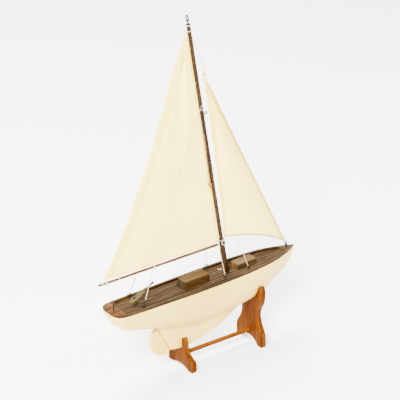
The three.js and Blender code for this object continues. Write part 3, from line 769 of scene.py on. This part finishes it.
def rail_ring(x, side):
    """L-shaped rail with eased top edges."""
    top, low, lip_low = sheer(x), hull_top(x) + gap / 2, deck_top(x) + gap / 2
    profile = [(0, low)]
    profile += [(a, top - b) for a, b in eased(rail_ease)]
    profile += [(rail_width - b, top - a) for a, b in eased(rail_ease)]
    profile += [(rail_width, lip_low), (rail_width - rail_lip, lip_low), (rail_width - rail_lip, low)]
    return [at(x, side * inside_breadth(x, inset), height) for inset, height in profile]


def cap_ring(x, thin=0.0):
    """Solid block on the hull's top edge, its outer edges eased."""
    ease = min(cap_ease, half_breadth(x) * 0.45)
    breadth, low, top = half_breadth(x) - thin, hull_top(x) + gap / 2, sheer(x) - thin * 0.6
    half = [(breadth, low)] + [(breadth - a, top - b) for a, b in eased(ease)]
    border = max(inside_breadth(x, rail_width), breadth * 0.4)
    half.append((min(border, breadth - ease), top))
    return [at(x, y, z) for y, z in half] + [at(x, -y, z) for y, z in reversed(half)]


def facing(aft, fore):
    """Thin board that faces the end of the recess, from the deck up to the cap."""
    return loft([span_ring(x, rail_width, deck_top(x), sheer(x) - 0.5) for x in (aft, fore)])


def make_rails():
    stations = crowded(recess_aft + 0.1, recess_fore - 0.1, 80)
    for name, side in (("rail_port", 1), ("rail_starboard", -1)):
        solid = loft([rail_ring(x, side) for x in stations])
        rail = add_piece(f"{name}_wood", solid, ["side_stain_and_shade_wood", "rail_wood"], node=name,
                         sharp=50)
        # Upward faces take rail wood and all other faces the darker side wood: the darker sides are painted
        # shade
        for polygon in rail.data.polygons:
            polygon.material_index = int(polygon.normal.z > top_facing)
    stern = [stern_station + d for d in (0, 0.3, 0.8, 1.5, 2.5, 4, 6, 9, 12, 16, 20, 23, 25.7)]
    solid = merged(
        loft([cap_ring(x, max(0, 0.8 - (x - stern_station))) for x in stern]),
        facing(recess_aft, recess_aft + facing_thickness),
    )
    cap = add_piece("stern_cap", solid, ["block_wood", "rail_wood", "side_stain_and_shade_wood"],
                    node="stern_block", sharp=50)
    for polygon in cap.data.polygons:
        centre = polygon.center / mm
        station = centre.x + mid_station
        # On the outer rim, tops take rail wood and the other faces the darker side wood, painted shade as on
        # the rails
        if abs(centre.y) > inside_breadth(station, rail_width) or station < stern_station + 0.5:
            polygon.material_index = 1 if polygon.normal.z > top_facing else 2
    solid = merged(
        loft([cap_ring(x) for x in (448.3, 454, 460, 466, 471, 475, 478, bow_station)]),
        facing(recess_fore - facing_thickness, recess_fore),
    )
    add_piece("bow_cap", solid, "rail_wood", node="bow_block", sharp=50)


def make_house(name, node, woods, aft, fore, half, height, bulge, lean, ease, end_lean):
    """Deckhouse block that leans in as it rises, with a bulged aft end and a rounded roof edge."""
    middle = (aft + fore) / 2
    base = deck_top(middle) + gap / 2
    slope = (deck_top(fore) - deck_top(aft)) / (fore - aft)
    rings = []
    levels = [(0, 0), (height - ease, lean), (height - ease * 0.5, lean + ease * 0.45),
              (height, lean + ease * 1.6)]
    for rise, inset in levels:
        ring = []
        for share in (i / 8 for i in range(-8, 9)):
            ring.append((aft + end_lean * inset - bulge * (1 - share ** 2), share * (half - inset)))
        ring += [(fore - inset * 0.5, half - inset), (fore - inset * 0.5, inset - half)]
        rings.append([at(x, y + house_side, base + rise + slope * (x - middle)) for x, y in ring])
    piece = add_piece(name, loft(rings), woods, node=node, sharp=25)
    for polygon in piece.data.polygons:
        if polygon.normal.z > roof_facing:
            polygon.material_index = 1
        elif polygon.normal.x < aft_facing:
            polygon.material_index = 2
    bevel(piece, house_rounding, 3, 20)


# ---------------- metal fittings

# Each eye: its foot, ring radius, wire radius, shank length, turn about the shank, and shank direction.
stay_eye, large_ring = (3.7, 1.04, 6.6, 0, z_axis), 4
eyes = {
    "shroud_eye_port": (on_deck(267, 33.5), *stay_eye),
    "shroud_eye_starboard": (on_deck(272, -27), *stay_eye),
    "backstay_eye_port": (on_deck(66, 29.5), *stay_eye),
    "backstay_eye_starboard": (on_deck(63, -28.5), *stay_eye),
    "fore_eye_starboard": (on_deck(339, -20), 2.4, 1.12, 4, pi / 2, z_axis),
    "mast_foot_eye": (on_deck(308, 5), 2.6, 1.12, 5, pi / 3, z_axis),
    "sheet_eye": (at(8, 0, sheer(8) + gap), 2.4, 1.28, 12, pi / 2, z_axis),
    "bow_eye": (at(459, 0, sheer(459) + gap), 3.3, 1.12, 3.4, pi / 8, z_axis),
    "masthead_eye": (mast_point(mast_head_height + gap), 4.2, 1.44, 7.5, pi / 2, mast_up),
    "hound_eye": (mast_point(565, mast_radius_at(565) + gap), 2.5, 1.12, 3.2, 0,
                  Vector((1, 0, mast_rake)).normalized()),
}


def ring_centre(node):
    foot, ring, _, shank, _, up = eyes[node]
    return foot + up * (shank + ring)


def eye_solid(node):
    """Bent wire ring on a threaded shank; a large ring is stretched along its shank."""
    foot, ring, wire, shank, turn, up = eyes[node]
    centre = ring_centre(node)
    normal = Quaternion(up, turn) @ (z_axis.rotation_difference(up) @ y_axis)
    ring_path = circle(centre, normal, ring, 36)
    if ring > large_ring:
        ring_path = [p + up * (p - centre).dot(up) * 0.5 for p in ring_path]
    stem = [foot + up * rise for rise in spread(0, shank, 24) + [shank + wire]]
    stem = tube(stem, lambda s: wire * (1.0 + 0.16 * sin(s * 24 * pi)), 12)
    return merged(tube(ring_path, wire, 12, closed=True), stem)


# ---------------- spars

boom_tip_station, boom_fore_station, boom_pivot_station = -27, 266.8, 296
boom_tip_height, boom_rise = 254.5, 6.5
boom_radius, mast_upper_foot = 2.8, 242


def boom_at(station, across=0.0, above=0.0):
    t = (station - boom_tip_station) / (boom_pivot_station - boom_tip_station)
    return at(station, across, boom_tip_height + boom_rise * t + above)


def make_spars():
    lower = turned([mast_point(h) for h in (184, 184.6, 268, 271.2, 272)], [5.7, 6.0, 5.65, 5.5, 4.9], 32)
    add_piece("mast_lower", lower, "spar_wood", node="mast_base", sharp=50)
    heights = spread(mast_upper_foot, mast_head_height, 40) + [mast_head_height + 0.6]

    def upper_radius(share):
        height = mast_upper_foot + (mast_head_height - mast_upper_foot) * share
        return mast_radius_at(height) * (1 if share < 0.995 else 0.7)

    upper = tube([mast_point(h) for h in heights], upper_radius, 28)
    add_piece("mast_upper", upper, "spar_wood", node="mast", sharp=50)
    bolt = [mast_point(gooseneck_height, 0, -mast_base_radius - d) for d in (0.2, 0.5, 1.2, 1.9, 2.2)]
    bolt = turned(bolt, [3.0, 3.6, 3.6, 2.9, 1.4], 28)
    add_piece("gooseneck_head", bolt, "steel", node="gooseneck_bolt", sharp=50)

    stations = spread(boom_tip_station + 9.3, boom_fore_station + 3.2, 30)
    boom = tube([boom_at(x) for x in stations], lambda s: 2.6 + 0.4 * s + 0.05 * sin(s * 9), 28)
    add_piece("boom_spar", boom, "boom_wood", "boom", "boom", sharp=50)
    tip = [boom_at(boom_tip_station + d) for d in (0, 0.6, 1.6, 5, 8.8)]
    tip = turned(tip, [1.2, 1.8, 2.1, 2.3, 2.35], 28)
    add_piece("boom_end", tip, "spar_wood", "boom", "boom_tip", sharp=50)
    ring = tube(circle(boom_at(boom_fore_station + 7), z_axis, 2.2, 32), 0.8, 12, closed=True)
    shank = tube([boom_at(boom_fore_station - 0.2), boom_at(boom_fore_station + 5)], 1.6, 16)
    add_piece("gooseneck_ring", merged(ring, shank), "steel", "boom", "gooseneck_eye", sharp=60)


# ---------------- thread, in millimetres

thread_radius = 0.45


def add_thread(name, *solids, look="white_thread", body="boat", node=None, blend=None):
    return add_piece(name, merged(*solids), look, body, node, blend=blend)


def twisted(path, radius=0.36, pitch=3.2):
    """Two-ply thread: two strands that wind round each other along a path."""
    path = [Vector(p) for p in path]
    lengths = [0.0]
    for a, b in zip(path, path[1:]):
        lengths.append(lengths[-1] + (b - a).length)
    total = lengths[-1]
    count = max(12, int(total / pitch * 6))
    strands = []
    for phase in (0.0, pi):
        points = []
        for here in (total * i / count for i in range(count + 1)):
            j = max(k for k in range(len(lengths)) if lengths[k] <= here + 1e-9)
            j = min(j, len(path) - 2)
            t = (here - lengths[j]) / max(lengths[j + 1] - lengths[j], 1e-9)
            along = (path[j + 1] - path[j]).normalized()
            side = sideways(along, y_axis)
            angle = 2 * pi * here / pitch + phase
            points.append(path[j].lerp(path[j + 1], t) + polar(side, along.cross(side), angle, radius * 0.5))
        strands.append(tube(points, radius * 0.56, 6))
    return merged(*strands)


def sagging(start, end, sag, steps=18):
    """Points of a nearly taut line that hangs away from straight by sag at its middle."""
    return [start.lerp(end, share) + sag * sin(pi * share) for share in shares(steps)]


def knot(centre, size, seed):
    """Small overhand knot: a few loops of thread wound about each other, with a short tail."""
    spin = random.Random(seed)

    def anyhow():
        return Vector((spin.uniform(-1, 1), spin.uniform(-1, 1), spin.uniform(-1, 1)))

    solids = []
    for _ in range(4):
        normal = anyhow().normalized()
        shift = anyhow() * size * 0.25
        solids.append(tube(circle(centre + shift, normal, size * 0.55, 20), size * 0.3, 8, closed=True))
    tail = centre + Vector((spin.uniform(-1, 1) * 2, spin.uniform(-1, 1) * 2, -3.4))
    solids.append(tube(smooth_path([centre, centre.lerp(tail, 0.5) + Vector((0.8, 0, 0)), tail], 5), 0.4, 8))
    return merged(*solids)


def wrap(centre, axis, radius, turns, thread=0.42):
    """Turns of thread round a spar."""
    axis = Vector(axis).normalized()
    side = sideways(axis, y_axis)
    up = axis.cross(side)
    count = int(turns * 20)
    points = []
    for share in shares(count):
        along = (share - 0.5) * turns * thread * 2
        points.append(centre + axis * along + polar(side, up, 2 * pi * turns * share, radius + thread))
    return tube(points, thread, 8)


def loop(centre, normal, radius, thread=0.38):
    """Round loop of thread."""
    return tube(circle(centre, normal, radius, 20), thread, 8, closed=True)


def hook_solid(eye, toward):
    """Bent wire hook from an eye's ring up to the thread that it holds."""
    along = (toward - eye).normalized()
    side = sideways(along, y_axis)
    bends = ((1.4, 0.6), (0.9, -0.9), (-0.7, -0.6), (-1.1, 1.6), (-0.2, 4.4), (0, 8.5), (0, 12.5))
    wire = tube(smooth_path([eye + side * a + along * b for a, b in bends]), 0.5, 10)
    return merged(wire, tube(circle(eye + along * 14, along.cross(side), 1.5, 24), 0.45, 10, closed=True))


def thread_loop(eye, start):
    """Thread that goes through a ring and comes back to its knot."""
    along = (start - eye).normalized()
    side = sideways(along, y_axis) * 1.1
    bend = [start, eye + along * 1.2 + side, eye - along * 0.2, eye + along * 1.2 - side, start]
    return tube(smooth_path(bend), 0.38, 8)


# ---------------- sails

main_head_height, main_foot_height = 745, 266
main_clew = at(-14, 0, 260)
main_hollow, main_belly, main_head_width = 12, 4, 7
luff_clearance = 1.2
lacing_heights = (748, 712, 636, 549, 470, 406, 330, 280)
boom_tie_stations = (-8, 22.9, 109)
foot_pin_stations = (-8, 22.9, 66, 109, 152, 195, 235)
jib_tack, jib_head, jib_clew = at(453, 0, 219.5), at(240, 0, 638), at(283.5, -7, 280)
jib_roll, jib_roll_from = Vector((-4.9, 0, 36)), 0.9
jib_lift, jib_belly = 14, 20
cloth_thickness, hem_thickness, hem_top = 0.5, 1.15, 0.985
stitch_spacing, stitch_length, stitch_radius, stitch_lift = 3.0, 2.3, 0.24, 0.62
seam_insets, widest_hem = (1.4, 1.2, 1.2), 0.48
edge_clearance, normal_step = 0.03, 0.02
settle_frames = 22
cloth_settings = {
    "vertex_group_mass": "pinned", "quality": 6, "mass": 0.12, "air_damping": 2, "bending_stiffness": 0.6,
    "tension_stiffness": 25, "compression_stiffness": 25, "shear_stiffness": 8,
}


def mainsail_point(u, v):
    """Point of the mainsail: u runs from the mast to the leech, v from the boom to the head."""
    height = main_foot_height + (main_head_height - main_foot_height) * v
    beside = mast_base_radius if height < gooseneck_height + 10 else mast_radius_at(height)
    luff_x = mast_point(height).x - beside - luff_clearance
    head_x = mast_point(main_head_height).x - mast_head_radius - luff_clearance - main_head_width
    leech_x = main_clew.x + (head_x - main_clew.x) * v + main_hollow * sin(pi * min(v * 1.15, 1))
    belly = -main_belly * sin(pi * u) * (1 - v) * (0.35 + 1.6 * v)
    drop = (main_clew.z - main_foot_height + boom_radius) * u * (1 - v)
    return Vector((luff_x + (leech_x - luff_x) * u, belly, height + drop))


def jib_point(u, v):
    """Point of the jib: u runs from the luff to the leech, v from the foot to the head."""
    w = min(v / jib_roll_from, 1)
    rolled = max(v - jib_roll_from, 0) / (1 - jib_roll_from)
    luff = jib_tack.lerp(jib_head, w)
    leech = jib_clew.lerp(jib_head + Vector((-4, 0, -1)), w)
    leech.x += sin(pi * w)
    point = luff.lerp(leech, u)
    point.z += jib_lift * sin(pi * u) * (1 - w) ** 3
    point.y -= jib_belly * sin(pi * u) * (1 - w) ** 0.8 * (0.75 + 0.5 * w)
    return point + jib_roll * rolled


class Sail:
    """A sail's cloth as a grid of points, which a cloth simulation and the hems share."""

    def __init__(self, point_at, columns, rows):
        self.columns, self.rows = columns, rows
        self.grid = [[point_at(c / columns, r / rows) for c in range(columns + 1)] for r in range(rows + 1)]

    def solid(self):
        """The cloth's points and faces."""
        width = self.columns + 1
        corners = [r * width + c for r in range(self.rows) for c in range(self.columns)]
        return [p for row in self.grid for p in row], [(a, a + 1, a + width + 1, a + width) for a in corners]

    def at(self, u, v):
        """Point of the cloth between its grid points."""
        column = min(max(u, 0), 1) * self.columns
        row = min(max(v, 0), 1) * self.rows
        c, r = min(int(column), self.columns - 1), min(int(row), self.rows - 1)
        low = self.grid[r][c].lerp(self.grid[r][c + 1], column - c)
        high = self.grid[r + 1][c].lerp(self.grid[r + 1][c + 1], column - c)
        return low.lerp(high, row - r)

    def normal_at(self, u, v):
        """Direction square to the cloth, read a little way in from its edges."""
        u, v = (min(max(share, edge_clearance), 1 - edge_clearance) for share in (u, v))
        across = self.at(u + normal_step, v) - self.at(u - normal_step, v)
        return across.cross(self.at(u, v + normal_step) - self.at(u, v - normal_step)).normalized()

    def crease(self, depth, count, seed, top=1.0):
        """Shallow creases that fan out from the head, which is at the share top of the rows."""
        for r, row in enumerate(self.grid):
            v = min(r / self.rows / top, 1)
            for c, p in enumerate(row):
                u = c / self.columns
                wave = sin(pi * (count * u + 0.35 * sin(3 * v + seed)))
                cloud = noise.noise(Vector((u * 3 + seed, v * 5, seed)))
                hold = sin(pi * u) * min(1, (1 - v) * 6) * min(1, 0.25 + 1.1 * v)
                p.y += depth * hold * (wave * 0.6 + cloud)

    def settle(self, pins, push, limit, luff_give):
        """Cloth simulation with pinned grid points; no point moves further than limit."""
        mesh = bpy.data.meshes.new("settling")
        points, faces = self.solid()
        mesh.from_pydata([tuple(p * mm) for p in points], [], faces)
        cloth = linked("settling", mesh)
        width = self.columns + 1
        pinned = [r * width + c for c, r in sorted(set(pins))]
        cloth.vertex_groups.new(name="pinned").add(pinned, 1.0, "REPLACE")
        modifier = cloth.modifiers.new("cloth", "CLOTH")
        for key, value in cloth_settings.items():
            setattr(modifier.settings, key, value)
        modifier.point_cache.frame_start, modifier.point_cache.frame_end = 1, settle_frames
        gravity = scene.gravity.copy()
        scene.gravity = push
        for step in range(1, settle_frames + 1):
            scene.frame_set(step)
        settled = cloth.evaluated_get(bpy.context.evaluated_depsgraph_get()).data
        for i, vertex in enumerate(settled.vertices):
            r, c = divmod(i, width)
            move = vertex.co / mm - self.grid[r][c]
            reach = limit * min(1, 0.05 + 7 * r / self.rows) * min(1, 0.04 + luff_give * c / self.columns)
            if move.length > reach:
                move *= reach / move.length
            self.grid[r][c] += move
        scene.frame_set(1)
        scene.gravity = gravity
        bpy.data.objects.remove(cloth)
        bpy.data.meshes.remove(mesh)


def strip(sail, outer_line, inner_line, count):
    """Folded hem: a closed strip on the cloth between two lines of (u, v)."""
    rings = []
    for s in shares(count):
        (u0, v0), (u1, v1) = outer_line(s), inner_line(s)
        u, v = (u0 + u1) / 2, (v0 + v1) / 2
        outer, middle, inner = sail.at(u0, v0), sail.at(u, v), sail.at(u1, v1)
        half = sail.normal_at(u, v) * (hem_thickness / 2)
        fold = outer + (outer - inner).normalized() * 0.35
        front = [(fold, 0.5), (outer, 1), (middle, 1.12), (inner, 0.9)]
        back = [(p, -share) for p, share in reversed(front)]
        rings.append([p + half * share for p, share in front + back])
    return loft(rings)


def stitches(sail, line):
    """A row of sewn stitches along a line of (u, v)."""
    total = sum((sail.at(*line(i / 60)) - sail.at(*line((i + 1) / 60))).length for i in range(60))
    count = int(total / stitch_spacing)
    solids = []
    for start in ((i + 0.15) / count for i in range(count)):
        ends = [sail.at(*line(start)), sail.at(*line(start + stitch_length / total))]
        lift = sail.normal_at(*line(start)) * stitch_lift
        solids += [tube([p + lift * side for p in ends], stitch_radius, 5) for side in (1, -1)]
    return merged(*solids)


def make_hems(name, sail, body, look, widths):
    """Folded and sewn hems; widths are those of the leech, luff and foot."""
    def inset(edge, width):
        """Line of (u, v) that runs a width in from an edge."""
        def line(s):
            if edge == "foot":
                return s, width / (sail.at(s, 1) - sail.at(s, 0)).length
            v = s * hem_top
            u = min(width / (sail.at(1, v) - sail.at(0, v)).length, widest_hem)
            return (1 - u if edge == "leech" else u), v

        return line

    parts = []
    for edge, width, seam, count in zip(("leech", "luff", "foot"), widths, seam_insets, (90, 90, 60)):
        hem = strip(sail, inset(edge, 0), inset(edge, width), count)
        sewn = stitches(sail, inset(edge, width - seam))
        parts.append(add_piece(f"{name}_{edge}_hem", hem, look, body, sharp=70))
        parts.append(add_piece(f"{name}_{edge}_stitches", sewn, "seam_cloth", body))
    return parts


def make_sail(name, sail, body, pins, push, limit, luff_give, hem_look, hem_widths):
    """The sail's cloth, settled, and its hems."""
    sail.settle(pins, push, limit, luff_give)
    piece = add_piece(f"{name}_cloth", sail.solid(), "sail_cloth", body, name, sharp=80)
    modifier = piece.modifiers.new("thickness", "SOLIDIFY")
    modifier.thickness, modifier.offset = cloth_thickness * mm, 0
    return piece, make_hems(name, sail, body, hem_look, hem_widths)


def make_mainsail():
    columns, rows = 44, 96
    sail = Sail(mainsail_point, columns, rows)
    sail.crease(depth=2.2, count=5, seed=2.0)
    row_of = rows / (main_head_height - main_foot_height)
    pins = [(0, round((height - main_foot_height) * row_of)) for height in lacing_heights]
    luff_x, leech_x = mainsail_point(0, 0).x, mainsail_point(1, 0).x
    pins += [(round((luff_x - boom_at(x).x) / (luff_x - leech_x) * columns), 0) for x in foot_pin_stations]
    pins += [(c, rows) for c in range(columns + 1)] + [(columns, 0), (0, 0)]
    piece, hems = make_sail(
        "mainsail", sail, "boom", pins, push=(0, -0.9, -4.0), limit=2.6, luff_give=5,
        hem_look="hem_cloth", hem_widths=(20, 7, 5),
    )
    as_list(hems)


def make_jib():
    columns, rows = 36, 80
    sail = Sail(jib_point, columns, rows)
    sail.crease(depth=2.6, count=4, seed=5.0, top=jib_roll_from)
    roll_row = round(rows * jib_roll_from)
    pins = [(0, r) for r in range(0, roll_row, 6)] + [(columns, 0)]
    pins += [(c, r) for r in range(roll_row, rows + 1) for c in range(columns + 1)]
    piece, hems = make_sail(
        "jib", sail, "boat", pins, push=(0, -1.6, -4.0), limit=4.0, luff_give=14,
        hem_look="jib_hem_cloth", hem_widths=(8, 12, 4),
    )
    luff = [sail.at(0, (1 - i / 70) * jib_roll_from) + Vector((0.7, 0, 0.2)) for i in range(1, 70)]
    foot = [sail.at(share, 0) + Vector((0.2, 0, -0.9)) for share in shares(30)]
    hems.append(add_thread("jib_bolt_cord", twisted(luff + foot, 0.9, 2.6), look="tan_thread"))
    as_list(hems)


# ---------------- rigging

downhaul_top = at(272, -5.0, 258.3)
shroud_height, backstay_height, lower_stay_height, halyard_height = 575, 587, 455, 731
doubled_radius, hook_length = 0.8, 15.6
backstays = {  # side, sag, doubled points at the foot, knot size and look
    # The port backstay, on the far side, takes the darker thread: painted shade
    "port": (1, Vector((-2.0, 0, -1.0)), 2, 1.2, "grey_thread"),
    "starboard": (-1, Vector((-9.0, -3.2, -1.0)), 4, 1.9, "white_thread"),
}


def beside_mast(height, forward, side):
    return mast_point(height, forward, side * (mast_radius_at(height) + thread_radius + gap))


def make_stay(name, node, eye, top, hold, sag, radius, look, rise, size, seed, doubled=0):
    """Thread from hold above an eye up to a point, with a knot and a loop through the eye's ring."""
    eye = ring_centre(eye)
    line = sagging(eye + (top - eye).normalized() * hold, top, z_axis * -sag)
    add_thread(f"{name}_line", twisted(line, radius), look=look, node=node)
    tied = [knot(line[0] + z_axis * rise, size, seed), thread_loop(eye, line[0])]
    if doubled:
        tied.append(tube(line[:doubled], doubled_radius, 10))
    add_thread(f"{name}_knot", *tied)


def make_stays():
    make_stay("shroud_port", "shroud_port", "shroud_eye_port", beside_mast(shroud_height, 0, 1),
              hold=3.0, sag=1.2, radius=0.42, look="grey_thread", rise=1.5, size=1.3, seed=4)
    make_stay("downhaul", "downhaul_starboard", "shroud_eye_starboard", downhaul_top,
              hold=3.0, sag=0.5, radius=1.0, look="white_thread", rise=1.5, size=1.5, seed=2)
    for name, (sign, sag, doubled, size, look) in backstays.items():
        eye, top = ring_centre(f"backstay_eye_{name}"), beside_mast(backstay_height, -1, sign)
        hook = hook_solid(eye, top)
        add_piece(f"backstay_{name}_wire", hook, "steel", node=f"backstay_hook_{name}", sharp=60)
        low = eye + (top - eye).normalized() * hook_length
        line = sagging(low, top, sag)
        add_thread(f"backstay_{name}_line", twisted(line, 0.45), tube(line[:doubled], doubled_radius, 10),
                   look=look, node=f"backstay_{name}")
        add_thread(f"backstay_{name}_knot", knot(low, size, 9 + sign))
    make_stay("lower_stay", "lower_stay_starboard", "fore_eye_starboard",
              beside_mast(lower_stay_height, 1, -1), hold=2.2, sag=0.8, radius=0.45,
              look="grey_thread", rise=1.2, size=1.1, seed=17, doubled=3)
    for name, height, look in (("hounds", 577, "white_thread"), ("lower", 457, "grey_thread")):
        lashing = wrap(mast_point(height), mast_up, mast_radius_at(height) + 0.1, 2, 0.3)
        add_thread(f"stay_lashing_{name}", lashing, knot(beside_mast(height, -3, -1), 1.3, height), look=look)


def make_lines():
    mast_radius_there = mast_radius_at(halyard_height)
    top = mast_point(halyard_height, mast_radius_there)
    head = jib_head + Vector((-2, 0, 0))
    tip = head + jib_roll + z_axis * 1.5
    halyard = twisted([tip, tip.lerp(top, 0.5), top], 0.45)
    add_thread("jib_halyard_line", halyard, look="grey_thread", node="jib_halyard")
    roll_path = [head + Vector((1, 0.2, -9)), head, head.lerp(tip, 0.3) + Vector((0.7, -0.4, 0)),
                 head.lerp(tip, 0.65) + Vector((-0.5, 0.3, 0)), tip]
    rolled = tube(smooth_path(roll_path), lambda s: 2.9 - 1.6 * s + 0.25 * sin(21 * s), 14)
    add_piece("jib_rolled_tip", rolled, "hem_cloth")
    add_thread("jib_head_binding", wrap(head.lerp(tip, 0.3), tip - head, 2.6, 3))
    lashing = wrap(mast_point(halyard_height), mast_up, mast_radius_there + 0.1, 2, 0.3)
    add_thread("jib_halyard_lashing", lashing, look="grey_thread")

    eye = ring_centre("bow_eye")
    hold = jib_tack + Vector((1.5, 0, -2))
    hook = hook_solid(eye, hold + (hold - eye) * 0.2)
    add_piece("jib_tack_wire", hook, "steel", node="jib_tack_hook", sharp=60)
    link = tube(circle(eye + (hold - eye) * 0.42, (0.75, 0.65, 0), 3.2, 32), 1.05, 12, closed=True)
    add_piece("jib_tack_ring", link, "steel", sharp=60)
    add_thread("jib_tack_knot", knot(hold, 1.2, 31))
    tie = [jib_clew + Vector((2, 0, -1)), mast_point(273, 3, -6.5), mast_point(270, -5.5, -2)]
    add_thread("jib_clew_tie", twisted(smooth_path(tie)))
    add_thread("jib_clew_knot", knot(jib_clew + Vector((1, -0.4, -1)), 1.4, 33))

    low, high = ring_centre("sheet_eye"), boom_at(boom_tip_station + 20, 0, -3.2)
    line = sagging(low + z_axis * 2.6, high, Vector((-1.0, 0, -1.0)), 24)
    add_thread("main_sheet_line", twisted(line, 0.42, 3.0), look="grey_thread", node="main_sheet",
               blend=("boat", "boom", low * mm, high * mm))
    add_thread("main_sheet_knot", knot(line[0], 1.2, 35))


def make_lashings():
    for i, height in enumerate(lacing_heights):
        beside = mast_base_radius if height < gooseneck_height + 8 else mast_radius_at(height)
        solids = [loop(mast_point(height, -beside - 1.8), (0, 0.25, 1), 1.9, 0.4),
                  knot(mast_point(height, -beside - 1.4, -1.8), 1.1, 70 + i)]
        if height > halyard_height:
            solids += [wrap(mast_point(h), mast_up, beside + 0.15, 3) for h in (height, height + 12)]
        add_thread(f"mast_lacing_{i}", *solids, body="boom")
    for i, (station, turns) in enumerate(zip(boom_tie_stations, (6, 3, 3))):
        around = wrap(boom_at(station), (1, 0, 0.02), boom_radius - 0.1, turns)
        through = loop(boom_at(station, 0, 4.2), (1, 0, 0), 1.9)
        tied = knot(boom_at(station, -2.6, -1.4), 0.8, 40 + i)
        add_thread(f"boom_tie_{i}", around, through, tied, body="boom")
    add_thread("boom_end_lashing", wrap(boom_at(boom_tip_station + 9), (1, 0, 0.02), 2.35, 5), body="boom")
    for name, look, height, side in (("dark", "grey_thread", 548, -2.6), ("pale", "old_thread", 520, -3.4)):
        top, low = mast_point(height, -4.6, side), mast_point(411, -9.6, side - 1)
        fall = twisted([top.lerp(low, share) for share in shares(8)], 0.7)
        add_thread(f"halyard_fall_{name}", fall, look=look, body="boom")
    tied = [knot(mast_point(407, -10.5, -5.4), 4.8, 81), knot(mast_point(400, -9, -5.4), 2.8, 82)]
    add_thread("halyard_knot", *tied, look="old_thread", body="boom")
    collar = wrap(mast_point(gooseneck_height + 6.5), mast_up, mast_base_radius - 0.3, 2)
    grommet = circle(mast_point(gooseneck_height, 0, -mast_base_radius - 0.9), y_axis, 4.5, 32)
    add_thread("gooseneck_lashing", collar, tube(grommet, 0.7, 10, closed=True))
    tied = [knot(on_deck(290, 13) + z_axis * 2, 2.4, 61), knot(on_deck(287, 16) + z_axis * 1.6, 1.9, 62)]
    add_thread("mast_foot_knot", *tied)


# ---------------- the whole model

make_camera()
make_studio()
make_stand()
make_hull()
make_rudder()
make_tiller()
make_deck()
make_rails()
for house, measures in houses.items():
    make_house(house, **measures)
for eye_node in eyes:
    add_piece(f"{eye_node}_wire", eye_solid(eye_node), "steel", node=eye_node, sharp=60)
make_spars()
make_stays()
make_lines()
make_lashings()
make_mainsail()
make_jib()
